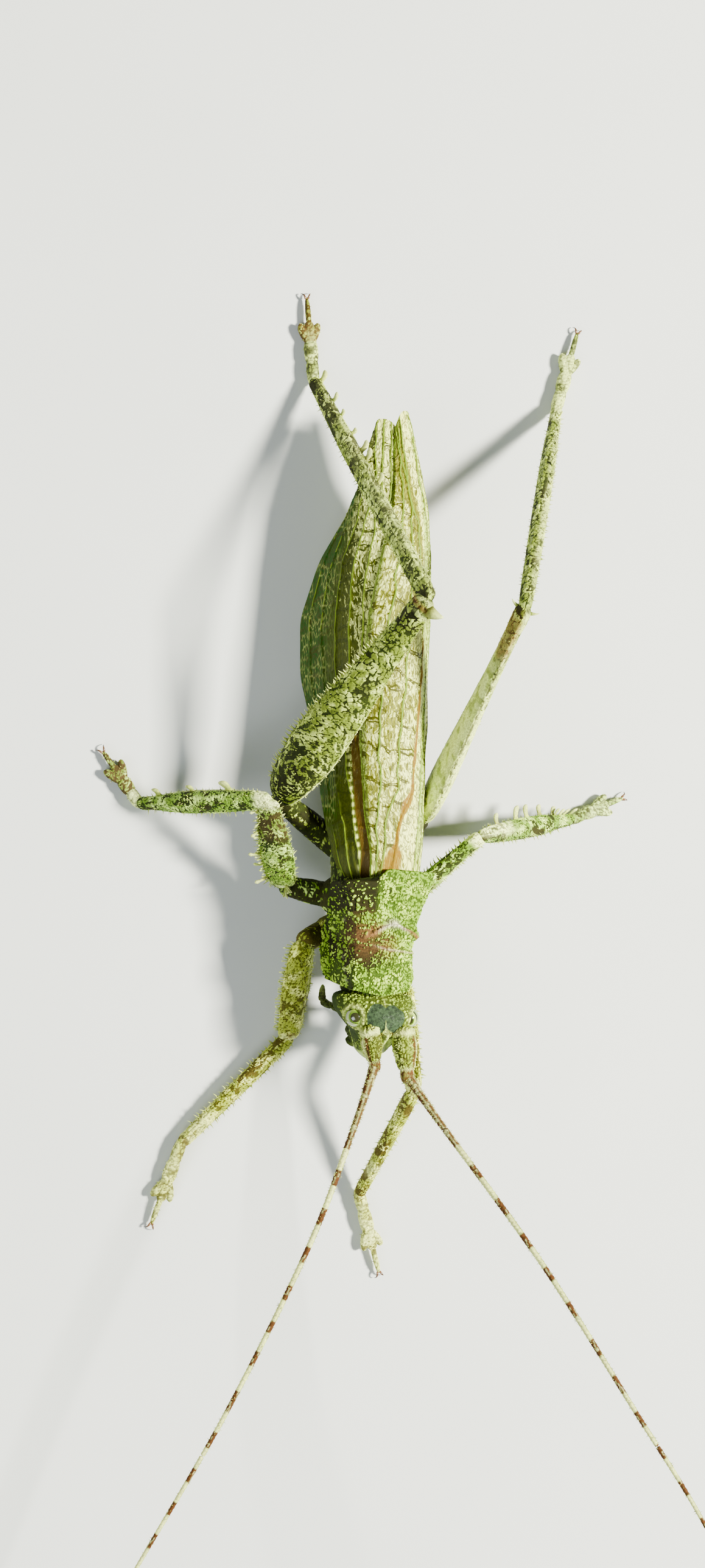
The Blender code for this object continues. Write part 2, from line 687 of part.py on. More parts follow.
def add_tarsus(leg_name, ankle, foot, mitre, finish, group):
    """Four pads, the third one broad, then a slim joint with two hooked claws."""
    axis = (foot - ankle).normalized()
    side = axis.cross(Vector((0, 0, 1))).normalized()
    rings = []
    for share, half_width, height in TARSUS_SHAPE:
        normal = mitre if share == 0.0 else axis
        centre = ankle.lerp(foot, share)
        if share == 0.0:
            centre = centre + mitre * (0.5 * GAP)
        up = side.cross(normal).normalized()
        sole = SOLE_DEPTHS["pad" if half_width >= PAD_HALF_WIDTH else "waist"] * centre.z
        rings.append(ring(centre, side, up, half_width, height, LEG_SIDES, 0.9, sole))
    foot_shape = loft(rings)
    last_row = (len(TARSUS_SHAPE) - 2) * LEG_SIDES
    grow_spines(foot_shape, (last_row + 4, last_row + 7), CLAW_LENGTH, lean=axis)
    for vert in foot_shape.verts:
        vert.co.z = max(0.0, vert.co.z)
    add_solid(f"leg_{leg_name}_tarsus", foot_shape, finish, group)


# ---------------------------------------------------------------- assembly


def build():
    clear_scene()
    group = collection("long_horned_grasshopper")
    cutters = collection("cutters")
    shell = material("mottled_shell", (0.42, 0.43, 0.16), 0.6)
    wing = material("veined_wing", (0.72, 0.70, 0.45), 0.45)
    horn = material("brown_horn", (0.33, 0.16, 0.07), 0.4)
    glass = material("eye_glass", (0.35, 0.38, 0.16), 0.15)
    thread = material("feeler_brown", (0.45, 0.27, 0.13), 0.5)

    add_thorax(shell, group)
    add_abdomen(shell, group)
    add_ovipositor(horn, group)
    add_pronotum(shell, group)
    add_head(shell, group, cutters)
    add_labrum(shell, group)
    for sign, side_name in ((1, "left"), (-1, "right")):
        sphere("eye_" + side_name, eye_point(sign), EYE_RADIUS, glass, group)
        add_mouthparts(side_name, sign, horn, group)
        add_antenna(side_name, thread, group)
        add_cercus(side_name, sign, horn, group)
        add_tegmen(side_name, wing, group)
    for leg_name in LEG_POSES:
        add_leg(leg_name, shell, group)


build()
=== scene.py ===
"""A long-horned grasshopper of the bark-mimicking kind, life size, in the pose of a live one.

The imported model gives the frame: metres, head to -Y, the animal's left to +X, feet on z = 0.
Sizes in this file are in millimetres, and MM turns them into metres where a mesh is made.
"""

import math

import bpy
import numpy as np
from mathutils import Matrix, Vector


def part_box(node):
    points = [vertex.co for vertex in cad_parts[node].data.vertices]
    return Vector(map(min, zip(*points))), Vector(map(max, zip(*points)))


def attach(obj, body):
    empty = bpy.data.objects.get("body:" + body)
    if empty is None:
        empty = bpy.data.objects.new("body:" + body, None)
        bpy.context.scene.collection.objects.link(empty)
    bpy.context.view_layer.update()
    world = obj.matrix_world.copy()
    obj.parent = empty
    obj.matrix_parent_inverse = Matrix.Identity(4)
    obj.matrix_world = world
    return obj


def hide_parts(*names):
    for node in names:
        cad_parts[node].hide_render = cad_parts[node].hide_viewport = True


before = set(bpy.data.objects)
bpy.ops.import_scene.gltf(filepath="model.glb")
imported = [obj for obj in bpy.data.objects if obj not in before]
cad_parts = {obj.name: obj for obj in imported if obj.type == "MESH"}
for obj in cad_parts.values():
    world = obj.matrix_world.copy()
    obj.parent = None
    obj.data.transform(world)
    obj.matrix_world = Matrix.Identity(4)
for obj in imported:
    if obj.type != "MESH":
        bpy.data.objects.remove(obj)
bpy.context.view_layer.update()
MM = 0.001


# ---------------------------------------------------------------- floor, lamps and camera
# A plain pale board under the feet, lit by one lamp from the animal's left and a weaker,
# broader one from its front right. The camera looks down, a little from the animal's right.

board_width = 900.0
board_gap = 0.02
key_lamp = {"place": (300, 30, 360), "power": 11.8, "size": 70, "colour": (1.0, 0.985, 0.89)}
fill_lamp = {"place": (-260, -160, 330), "power": 1.8, "size": 260, "colour": (0.86, 0.93, 1.0)}
sky_colour = (0.92, 0.96, 1.0, 1.0)
sky_strength = 0.2
camera_aim = Vector((1.1, 22.8, 0.0))
camera_distance = 200.0
camera_lean = math.radians(14.0)
camera_lens = 55.76


def add_node(tree, kind, inputs=None, **options):
    """Adds a shader node, sets its options, and fills or joins its inputs."""
    node = tree.nodes.new(kind)
    for key, value in options.items():
        setattr(node, key, value)
    for key, value in (inputs or {}).items():
        if isinstance(value, bpy.types.NodeSocket):
            tree.links.new(value, node.inputs[key])
        else:
            node.inputs[key].default_value = value
    return node


def mixed(tree, factor, first, second):
    """A colour between two others."""
    inputs = {"Factor": factor, 6: first, 7: second}
    return add_node(tree, "ShaderNodeMix", inputs, data_type="RGBA").outputs[2]


def ramp(tree, value, low, high, start=0.0, end=1.0):
    """A value that runs softly from start, at low, to end, at high."""
    inputs = {"Value": value, 1: low, 2: high, 3: start, 4: end}
    return add_node(tree, "ShaderNodeMapRange", inputs, interpolation_type="SMOOTHSTEP").outputs[0]


def sums(tree, kind, first, second, third=0.0):
    """One sum of two or three values."""
    return add_node(tree, "ShaderNodeMath", {0: first, 1: second, 2: third}, operation=kind).outputs[0]


def times(tree, first, second):
    return sums(tree, "MULTIPLY", first, second)


def mask_value(tree, name):
    """A value that the piece stores at its own points."""
    return add_node(tree, "ShaderNodeAttribute", attribute_name=name).outputs["Fac"]


def own_place(tree):
    return add_node(tree, "ShaderNodeTexCoord").outputs["Object"]


def noise(tree, place, scale, detail=3.0):
    """Soft blotches, from 0 to 1, of this many to the metre."""
    inputs = {"Vector": place, "Scale": scale, "Detail": detail}
    return add_node(tree, "ShaderNodeTexNoise", inputs).outputs["Fac"]


def dented(tree, shader, strength, depth, height):
    """Gives a finish small dents, this many millimetres deep, from a height in the shader."""
    inputs = {"Strength": strength, "Distance": depth * MM, "Height": height}
    relief = add_node(tree, "ShaderNodeBump", inputs)
    tree.links.new(relief.outputs["Normal"], shader.inputs["Normal"])


def new_finish(name, roughness=0.5, specular=0.5):
    """A material with its Principled shader, ready for more nodes."""
    made = bpy.data.materials.new(name)
    made.use_nodes = True
    shader = made.node_tree.nodes["Principled BSDF"]
    shader.inputs["Roughness"].default_value = roughness
    shader.inputs["Specular IOR Level"].default_value = specular
    return made, made.node_tree, shader


def placed(name, data):
    """A new object in the scene, made of this mesh, lamp or camera."""
    made = bpy.data.objects.new(name, data)
    bpy.context.scene.collection.objects.link(made)
    return made


def add_board():
    board_finish, tree, shader = new_finish("pale_board", 0.85)
    place = own_place(tree)
    tint = mixed(tree, noise(tree, place, 60.0, 4.0), (0.60, 0.62, 0.57, 1), (0.66, 0.67, 0.63, 1))
    tree.links.new(tint, shader.inputs["Base Color"])
    mesh = bpy.data.meshes.new("board")
    half = board_width / 2 * MM
    corners = [(x * half, y * half, -board_gap * MM) for x, y in ((-1, -1), (1, -1), (1, 1), (-1, 1))]
    mesh.from_pydata(corners, [], [(0, 1, 2, 3)])
    mesh.materials.append(board_finish)
    board = placed("board", mesh)


def add_lamp(name, place, power, size, colour):
    """A square lamp, given its place in millimetres, aimed at the middle of the insect."""
    light = bpy.data.lights.new(name, "AREA")
    light.energy = power
    light.size = size * MM
    light.color = colour
    lamp = placed(name, light)
    lamp.location = Vector(place) * MM
    aim = camera_aim * MM - lamp.location
    lamp.rotation_mode = "QUATERNION"
    lamp.rotation_quaternion = aim.to_track_quat("-Z", "Y")


def add_camera():
    camera = placed("camera", bpy.data.cameras.new("camera"))
    away = Vector((-math.sin(camera_lean), 0.0, math.cos(camera_lean)))
    right = away.cross(Vector((0.0, 1.0, 0.0))) * -1.0
    turn = Matrix((right, away.cross(right), away)).transposed().to_4x4()
    turn.translation = (camera_aim + away * camera_distance) * MM
    camera.matrix_world = turn
    camera.data.lens = camera_lens
    camera.data.clip_start = 0.001
    bpy.context.scene.camera = camera


add_board()
add_lamp("key_lamp", **key_lamp)
add_lamp("fill_lamp", **fill_lamp)
world = bpy.data.worlds.new("studio")
world.use_nodes = True
world.node_tree.nodes["Background"].inputs["Color"].default_value = sky_colour
world.node_tree.nodes["Background"].inputs["Strength"].default_value = sky_strength
bpy.context.scene.world = world
add_camera()


# ---------------------------------------------------------------- trunk
# Thorax and abdomen: soft rings of horn skin, each full at its rear edge and drawn in before
# the next. They hang under the shield and the wings, and show from the sides and from below.

trunk_place = np.array((1.0, 15.8, 6.9))
trunk_heading = math.radians(-3.2)
trunk_roll = math.radians(6.0)
trunk_turn = np.array(
    Matrix.Rotation(trunk_heading, 3, "Z") @ Matrix.Rotation(trunk_roll, 3, "Y")
)
# y, sideways shift, centre height, half width, height, depth
trunk_stations = np.array((
    (-10.3, 0.0, 0.1, 1.6, 2.5, 1.8),
    (-9.4, 0.0, 0.1, 2.05, 3.05, 2.3),
    (-8.2, 0.0, 0.1, 2.1, 2.9, 2.4),
    (-5.0, 0.0, 0.0, 2.5, 2.5, 3.2),
    (-2.8, 0.0, 0.0, 2.75, 2.6, 3.2),
    (-1.5, 0.0, 0.0, 3.1, 2.7, 3.4),
    (1.2, 0.0, -0.2, 3.3, 2.1, 3.3),
    (2.6, 0.0, -0.6, 3.0, 1.8, 2.9),
    (4.2, -0.07, -0.9, 2.5, 1.75, 2.6),
    (7.5, -0.28, -0.9, 2.55, 1.7, 2.95),
    (12.2, -0.53, -0.9, 2.25, 1.4, 2.55),
    (15.3, -0.69, -0.9, 1.65, 1.0, 1.75),
    (17.4, -0.8, -0.95, 0.85, 0.5, 0.75),
))
abdomen_start = 2.2
abdomen_ring_length = 1.75
trunk_rows = 230
trunk_columns = 120
trunk_grain_size = 0.36
trunk_grain_height = 0.06
trunk_side, trunk_up = trunk_turn[:, 0], trunk_turn[:, 2]


def in_trunk(points):
    """Turns places in the trunk's own frame (left, tail, back) into places in the room."""
    return trunk_place + np.asarray(points, float) @ trunk_turn.T


def read(stations, position, softness):
    """The columns of a table at these positions, rounded off over a softness."""
    offsets = np.linspace(-softness, softness, 5)
    at = np.asarray(position, float)[..., None] + offsets
    return [np.interp(at, stations[:, 0], column).mean(-1) for column in stations.T[1:]]


def rise(value, low, high):
    """Runs smoothly from 0 at low to 1 at high."""
    share = np.clip((value - low) / (high - low), 0.0, 1.0)
    return share * share * (3 - 2 * share)


def hump(value, middle, width):
    return np.exp(-(((value - middle) / width) ** 2))


def numbers_at(cells, seed):
    """A repeatable number from 0 to 1 for every whole-numbered cell."""
    keys = cells.astype(np.int64) @ np.array((73856093, 19349663, 83492791))[: cells.shape[-1]]
    keys = (keys + seed * 668265263) & 0xFFFFFFFF
    keys = ((keys ^ (keys >> 15)) * 2246822519) & 0xFFFFFFFF
    keys = ((keys ^ (keys >> 13)) * 3266489917) & 0xFFFFFFFF
    return ((keys ^ (keys >> 16)) & 0xFFFFFF) / 0x1000000


def clouds(points, size, seed):
    """Soft random blotches of this size, from 0 to 1."""
    cell = np.floor(points / size)
    part = points / size - cell
    part = part * part * (3 - 2 * part)
    total = np.zeros(points.shape[:-1])
    for corner in np.ndindex(*(2,) * points.shape[-1]):
        share = np.prod(np.where(np.array(corner) > 0, part, 1 - part), axis=-1)
        total += share * numbers_at(cell + corner, seed)
    return total


def pebbles(points, size, seed, looseness=0.8):
    """Cells round scattered middles: how far in from the edge, how far from the middle, a number."""
    scaled = points / size
    home = np.floor(scaled)
    first = np.full(points.shape[:-1], 9.0)
    second = first.copy()
    own = np.zeros(points.shape[:-1])
    for step in np.ndindex(*(3,) * points.shape[-1]):
        cell = home + step - 1
        middle = np.stack([numbers_at(cell, seed + 7 * axis) for axis in range(points.shape[-1])], -1)
        gap = np.linalg.norm(scaled - cell - 0.5 - looseness * (middle - 0.5), axis=-1)
        second = np.minimum(second, np.maximum(first, gap))
        own = np.where(gap < first, middle[..., 0], own)
        first = np.minimum(first, gap)
    return second - first, first, own


def granules(points, size, seed, reach=0.62):
    """Rounded grains with bare gaps between them: how high each place stands, and a number for each."""
    edge, first, own = pebbles(points, size, seed)
    return np.minimum(rise(edge, 0.02, 0.3), rise(reach - first, 0.0, 0.24)) * (0.5 + 0.5 * own), own


def unit(vectors):
    return vectors / np.linalg.norm(vectors, axis=-1, keepdims=True)


def outward(rows):
    """The unit normals of rows of closed rings."""
    along_rows = np.gradient(rows, axis=0)
    round_ring = np.roll(rows, -1, axis=1) - np.roll(rows, 1, axis=1)
    normal = np.cross(round_ring, along_rows)
    normal /= np.linalg.norm(normal, axis=-1, keepdims=True) + 1e-9
    away = rows - rows.mean(axis=1, keepdims=True)
    return normal if (normal * away).sum() > 0 else -normal


def raised(rows, lift):
    """Rows of rings, each place moved outwards by its own height."""
    return rows + outward(rows) * lift[..., None]


def turns(count):
    """This many even angles round a ring."""
    return np.linspace(0, 2 * math.pi, count, endpoint=False)


def rings(centre, side, up, half_side, half_up, count, power=1.0, half_down=None):
    """Rows of closed rings: superellipses round centres, deeper below than above if asked."""
    angle = turns(count)
    side, up = np.broadcast_to(side, centre.shape), np.broadcast_to(up, centre.shape)
    across = np.sign(np.cos(angle)) * np.abs(np.cos(angle)) ** power
    height = np.sign(np.sin(angle)) * np.abs(np.sin(angle)) ** power
    lower = half_up if half_down is None else half_down
    depth = np.where(height > 0, half_up[:, None], lower[:, None]) * height
    width = half_side[:, None] * across
    return centre[:, None] + side[:, None] * width[..., None] + up[:, None] * depth[..., None]


def round_ends(shares, start, end):
    """How wide a piece is at each share of its length, where both its ends close as domes."""
    early = np.clip(shares / start, 0, 1)
    late = np.clip((1 - shares) / end, 0, 1)
    return np.sqrt(1 - (1 - early) ** 2 + 1e-4) * np.sqrt(1 - (1 - late) ** 2 + 1e-4)


def corners_of(grid):
    """The four corners of every face of a grid, in turn."""
    return grid[:-1, :-1], grid[:-1, 1:], grid[1:, 1:], grid[1:, :-1]


whole_map = 0.0, 0.0, 1.0, 1.0


def surface(rows, fields, map_box=whole_map):
    """One closed skin from rows of rings: points, faces, a flat map of them, and their values."""
    height, width = rows.shape[:2]
    number = np.arange(height * width).reshape(height, width)
    wrapped = np.concatenate([number, number[:, :1]], axis=1)
    left, low, right, high = map_box
    step = np.meshgrid(np.linspace(left, right, width + 1), np.linspace(low + 0.01, high, height))
    flat = np.stack(step, -1)
    quads = np.stack(corners_of(wrapped), -1).reshape(-1, 4)
    quad_map = np.stack(corners_of(flat), 2).reshape(-1, 4, 2)
    turn = turns(width)
    disc = np.stack([left + 0.006 + 0.004 * np.cos(turn), low + 0.005 + 0.004 * np.sin(turn)], -1)
    points = rows.reshape(-1, 3)
    first, second, third = (points[quads[:, corner]] - rows.mean((0, 1)) for corner in range(3))
    volume = (first * np.cross(second, third)).sum()
    caps = [number[0][::-1], number[-1]]
    cap_maps = [disc[::-1], disc]
    if volume < 0:
        quads, quad_map = quads[:, ::-1], quad_map[:, ::-1]
        caps, cap_maps = [cap[::-1] for cap in caps], [part[::-1] for part in cap_maps]
    values = {name: np.broadcast_to(value, (height, width)).reshape(-1) for name, value in fields.items()}
    return {
        "points": points,
        "values": values,
        "faces": [*quads.tolist(), *[cap.tolist() for cap in caps]],
        "map": np.concatenate([quad_map.reshape(-1, 2), *cap_maps]),
    }


def make_piece(name, surfaces, finish, nodes):
    """Joins skins into one object that rides on the root and stands for these nodes."""
    mesh = bpy.data.meshes.new(name)
    starts = np.cumsum([0] + [len(part["points"]) for part in surfaces])
    faces = [
        [corner + start for corner in face]
        for part, start in zip(surfaces, starts) for face in part["faces"]
    ]
    mesh.from_pydata(np.concatenate([part["points"] for part in surfaces]) * MM, [], faces)
    for field in surfaces[0]["values"]:
        stored = mesh.attributes.new(field, "FLOAT", "POINT")
        stored.data.foreach_set("value", np.concatenate([part["values"][field] for part in surfaces]))
    flat = mesh.uv_layers.new(name="OFBake")
    flat.data.foreach_set("uv", np.concatenate([part["map"] for part in surfaces]).ravel())
    mesh.materials.append(finish)
    mesh.shade_smooth()
    made = placed(name, mesh)
    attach(made, "root")
    if nodes:
        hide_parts(*nodes)


def new_group(name, masks, colours):
    """A shader group that takes masks and colours, and gives a colour, a roughness and a height."""
    tree = bpy.data.node_groups.new(name, "ShaderNodeTree")
    taken = [(mask, "Float") for mask in masks] + [(colour + " colour", "Color") for colour in colours]
    made = ("Color", "Color"), ("Roughness", "Float"), ("Height", "Float")
    for direction, named in (("INPUT", taken), ("OUTPUT", made)):
        for socket, kind in named:
            tree.interface.new_socket(socket, in_out=direction, socket_type="NodeSocket" + kind)
    return tree, add_node(tree, "NodeGroupInput").outputs


def group_finish(name, group, masks, colours, specular, bump, depth):
    """A material of one shader group in its own colours, with masks read from the piece's values."""
    made, tree, shader = new_finish(name, specular=specular)
    skin = add_node(tree, "ShaderNodeGroup", node_tree=group)
    for mask in masks:
        tree.links.new(mask_value(tree, mask.lower()), skin.inputs[mask])
    for key, value in colours:
        skin.inputs[key + " colour"].default_value = (*value, 1.0)
    tree.links.new(skin.outputs["Color"], shader.inputs["Base Color"])
    tree.links.new(skin.outputs["Roughness"], shader.inputs["Roughness"])
    dented(tree, shader, bump, depth, skin.outputs["Height"])
    return made


lichen_masks = ("Grain", "Patch", "Rust", "Bone")
lichen_colours = ("Groove", "Green", "Cream", "Patch", "Rust", "Bone")


def lichen_group():
    """Granular skin: dark between the grains, green to cream on top, with brown, rust and bone."""
    tree, given = new_group("lichen_skin", lichen_masks, lichen_colours)
    place = own_place(tree)
    fine = noise(tree, place, 6500.0)
    height = sums(tree, "MULTIPLY_ADD", fine, 0.4, given["Grain"])
    crest = ramp(tree, height, 0.42, 0.78)
    hue = ramp(tree, noise(tree, place, 1000.0), 0.45, 0.66)
    top = mixed(tree, hue, given["Green colour"], given["Cream colour"])
    dark = mixed(tree, given["Patch"], given["Groove colour"], given["Patch colour"])
    skin = mixed(tree, crest, dark, top)
    rusty = times(tree, given["Rust"], ramp(tree, fine, 0.3, 0.6, 0.7, 1.0))
    skin = mixed(tree, rusty, skin, given["Rust colour"])
    chalk = times(tree, given["Bone"], ramp(tree, height, 0.2, 0.55, 0.3, 1.0))
    skin = mixed(tree, chalk, skin, given["Bone colour"])
    shade = ramp(tree, fine, 0.32, 0.68, 0.74, 1.16)
    toned = add_node(tree, "ShaderNodeVectorMath", {0: skin, 1: shade}, operation="MULTIPLY").outputs[0]
    matt = ramp(tree, height, 0.2, 1.2, 0.8, 0.42)
    add_node(tree, "NodeGroupOutput", {"Color": toned, "Roughness": matt, "Height": height})
    return tree


lichen_skin = lichen_group()


def lichen_finish(name, *colours, bump=0.5, depth=0.04):
    """Granular skin in its own six colours: groove, green, cream, patch, rust and bone."""
    named = zip(lichen_colours, colours)
    return group_finish(name, lichen_skin, lichen_masks, named, 0.12, bump, depth)


def add_trunk():
    y = np.linspace(trunk_stations[0, 0], trunk_stations[-1, 0], trunk_rows)
    shift, height, half_width, top, depth = read(trunk_stations, y, 0.5)
    ring = (y - abdomen_start) / abdomen_ring_length % 1.0
    groove = np.where(y > abdomen_start, 1 - 0.1 * hump(ring, 0.0, 0.16) - 0.1 * hump(ring, 1.0, 0.06), 1.0)
    ends = round_ends((y - y[0]) / (y[-1] - y[0]), 0.02, 0.03)
    groove = groove * ends
    centre = in_trunk(np.stack([shift, y, height], -1))
    half_width, top, depth = half_width * groove, top * groove, depth * groove
    rows = rings(centre, trunk_side, trunk_up, half_width, top, trunk_columns, 0.95, depth)
    grain, _ = granules(rows, trunk_grain_size, 11)
    rows = raised(rows, trunk_grain_height * grain * ends[:, None])
    belly = rise((rows - centre[:, None]) @ trunk_up, 0.5, -1.8)
    values = {
        "grain": grain,
        "patch": rise(clouds(rows, 1.6, 12), 0.45, 0.7) * (1 - 0.5 * belly),
        "rust": 0.35 * hump(ring[:, None], 0.85, 0.12) * rise(y, 2.0, 3.0)[:, None],
        "bone": 0.35 * belly,
    }
    make_piece("trunk_skin", [surface(rows, values)], trunk_finish, ("thorax", "abdomen"))


trunk_finish = lichen_finish(
    "trunk_skin", (0.012, 0.018, 0.001), (0.08, 0.13, 0.008), (0.26, 0.34, 0.04),
    (0.012, 0.012, 0.001), (0.12, 0.05, 0.01), (0.36, 0.40, 0.12),
)
add_trunk()


# ---------------------------------------------------------------- head
# A deep, blunt capsule of hard granular skin that hangs down from the neck. Two smooth slate
# patches lie on the crown, and a short pale keel stands between the sockets of the feelers.

head_place = np.array((0.6, -12.0, 0.0))
# tail, half width, top, bottom
head_stations = np.array((
    (-2.9, 0.5, 0.4, -1.9),
    (-2.5, 0.9, 1.4, -2.6),
    (-1.9, 1.2, 2.1, -2.95),
    (-1.1, 1.5, 2.95, -3.1),
    (-0.5, 1.8, 3.6, -3.1),
    (0.0, 2.15, 3.85, -3.1),
    (0.8, 2.6, 3.92, -3.0),
    (1.5, 3.0, 3.6, -2.7),
    (2.1, 3.1, 3.2, -2.2),
    (2.8, 2.6, 2.4, -1.4),
))
head_rows = 220
head_columns = 300
head_grain_size = 0.26
head_grain_height = 0.1
jaw_narrowing = 0.3
cheek_lean = 0.5
eye_radius = 0.8
eye_middle = {
    side: np.array(sum(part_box("eye_" + side), Vector()) / 2) / MM for side in ("left", "right")
}


def in_head(points):
    return in_trunk(np.asarray(points, float) + head_place)


def near(points, place, size):
    """1 at a place and fading away from it; the size may differ along left, tail and back."""
    return np.exp(-(((points - np.asarray(place)) / np.asarray(size)) ** 2).sum(-1))


def head_shape():
    """Rows of rings for the plain capsule, and how wide its ends are."""
    low, high = head_stations[0, 0], head_stations[-1, 0]
    tail = (low + high) / 2 - (high - low) / 2 * np.cos(np.linspace(0, math.pi, head_rows))
    half_width, top, bottom = read(head_stations, tail, 0.25)
    ends = round_ends((tail - low) / (high - low), 0.16, 0.1)
    middle = bottom + 0.6 * (top - bottom)
    centre = in_head(np.stack([np.zeros_like(tail), tail, middle], -1))
    above, below = (top - middle) * ends, (middle - bottom) * ends
    rows = rings(centre, trunk_side, trunk_up, half_width * ends, above, head_columns, 0.82, below)
    local = (rows - trunk_place) @ trunk_turn - head_place
    narrow = local[..., 0] * jaw_narrowing * rise(local[..., 2], 0.5, -3.0)
    lean = -cheek_lean * rise(local[..., 2], 3.2, 1.2) * rise(local[..., 1], -0.8, 1.2)
    return rows + trunk_side * (lean - narrow)[..., None], ends


def add_head():
    rows, ends = head_shape()
    left, tail, back = np.moveaxis((rows - trunk_place) @ trunk_turn - head_place, -1, 0)
    local = np.stack([left, tail, back], -1)
    height = np.zeros(rows.shape[:2])
    rim = np.zeros(rows.shape[:2])
    for middle in eye_middle.values():
        reach = np.linalg.norm(rows - middle, axis=-1)
        rim += hump(reach, 0.95, 0.15)
        height += 0.2 * hump(reach, 0.98, 0.16) - 0.5 * rise(reach, 0.8, 0.5)
    for sign in (-1, 1):
        height += 0.25 * near(local, (sign * 1.25, -0.5, 3.2), (0.5, 0.5, 0.6))
        height -= 0.12 * near(local, (sign * 0.55, -1.9, 0.6), (0.2, 0.8, 1.6))
    height -= 0.14 * hump(back, -1.9, 0.12) * rise(-tail, 0.6, 1.2)
    warp = 0.5 * (clouds(local, 0.5, 5) - 0.5)
    crown = np.zeros_like(left)
    for sign, long in ((-1, 1.2), (1, 1.02)):
        oval = (((local - (0.7 * sign - 0.22, 0.72, 3.8)) / (0.86, long, 0.9)) ** 2).sum(-1)
        crown = np.maximum(crown, rise(1.15 - oval + warp, 0.0, 0.22))
    midline = hump(left, -0.24, 0.06) * rise(back, 2.6, 3.3)
    crown = crown * (1 - 0.9 * midline * rise(tail, 0.9, 0.4))
    knobs = near(local, (-0.2, -0.05, 3.75), (0.15, 0.16, 0.5))
    knobs = knobs + near(local, (-0.05, -0.3, 3.7), (0.18, 0.2, 0.5))
    keel = hump(left, 0.0, 0.24) * rise(-tail, 0.2, 0.7) * rise(back, 0.9, 2.0)
    front = rise(-tail, 0.7, 1.1) * rise(1.3 - np.abs(left), 0.0, 0.4)
    # The cheeks below the eyes are smooth and dark: their own dark olive, deepened with painted shade under
    # the shield's edge.
    cheek = rise(np.abs(left), 1.0, 1.7) * rise(2.1 - back, 0.0, 1.1)
    grain, _ = granules(rows + 0.2 * clouds(rows, 0.4, 6)[..., None], head_grain_size, 21)
    grain = grain * (1 - front) * (1 - 0.9 * cheek)
    lift = height + head_grain_height * grain * (1 - crown) * (1 - 0.7 * rim) + 0.16 * knobs + 0.3 * keel
    rows = raised(rows, lift * ends[:, None])
    pale_front = 0.62 * front * (0.75 + 0.5 * clouds(local, 0.4, 23))
    rust = sum(near(local, place, (0.2, 0.25, 0.5)) for place in ((-0.45, -0.45, 3.5), (0.5, -0.5, 3.5)))
    bone = 0.85 * rim * rise(back, 1.2, 2.2) + 0.9 * knobs + 0.7 * keel + 0.5 * midline
    values = {
        "grain": np.maximum(grain, pale_front),
        "patch": np.clip(0.5 * rise(clouds(rows, 0.9, 22), 0.5, 0.8) * (1 - cheek) + 0.9 * cheek, 0, 1),
        "rust": 0.75 * rust,
        "bone": np.clip(bone, 0, 0.9),
        "slate": crown,
    }
    make_piece("head_skin", [surface(rows, values)], head_finish, ("head",))


head_finish = lichen_finish(
    "head_skin", (0.045, 0.065, 0.003), (0.17, 0.25, 0.015), (0.46, 0.62, 0.08),
    (0.012, 0.026, 0.0006), (0.09, 0.035, 0.004), (0.58, 0.68, 0.15),
)


def lay_slate(made):
    """Lays the smooth blue-grey patches of the crown over the granular colours."""
    tree = made.node_tree
    shader = tree.nodes["Principled BSDF"]
    mask, place = mask_value(tree, "slate"), own_place(tree)
    fleck = ramp(tree, noise(tree, place, 4200.0, 5.0), 0.36, 0.66)
    slate = mixed(tree, fleck, (0.014, 0.024, 0.010, 1), (0.036, 0.064, 0.026, 1))
    # Sparse pale specks over the slate are painted highlights.
    slate = mixed(tree, ramp(tree, noise(tree, place, 8000.0), 0.66, 0.76), slate, (0.09, 0.16, 0.06, 1))
    under = shader.inputs["Base Color"].links[0].from_socket
    tree.links.new(mixed(tree, ramp(tree, mask, 0.3, 0.6), under, slate), shader.inputs["Base Color"])


lay_slate(head_finish)
add_head()


# ---------------------------------------------------------------- eyes
# Round glassy beads of fine facets, banded green and olive, each with a dark spot on top
# and a pale ring where it meets the head. They sit half sunk in their sockets.

eye_rows = 70
eye_columns = 100
eye_facets_per_metre = 21000.0
# Colours laid one over the other, each from this to that strength of its mask.
eye_layers = {
    "band": (0.35, 0.6, (0.20, 0.30, 0.02, 1)),
    "ring": (0.3, 0.7, (0.010, 0.018, 0.001, 1)),
    "rim": (0.3, 0.7, (0.46, 0.60, 0.12, 1)),
    "spot": (0.3, 0.6, (0.020, 0.022, 0.004, 1)),
}
# For each eye, in the trunk's frame: where its dark spot looks, and how wide the spot is.
eye_looks = {"right": ((-0.32, -0.05, 0.9), 0.5), "left": ((-0.45, -0.12, 0.8), 0.62)}


def eye_finish():
    made, tree, shader = new_finish("eye_glass", 0.14, 0.6)
    shader.inputs["Coat Weight"].default_value = 0.9
    shader.inputs["Coat Roughness"].default_value = 0.04
    place = own_place(tree)
    facets = add_node(tree, "ShaderNodeTexVoronoi", {"Vector": place, "Scale": eye_facets_per_metre})
    cloud = noise(tree, place, 3500.0, 2.0)
    colour = mixed(tree, cloud, (0.05, 0.10, 0.004, 1), (0.16, 0.30, 0.012, 1))
    for name, (low, high, over) in eye_layers.items():
        colour = mixed(tree, ramp(tree, mask_value(tree, name), low, high), colour, over)
    tree.links.new(colour, shader.inputs["Base Color"])
    dented(tree, shader, 0.25, 0.01, facets.outputs["Distance"])
    return made


eye_glass = eye_finish()


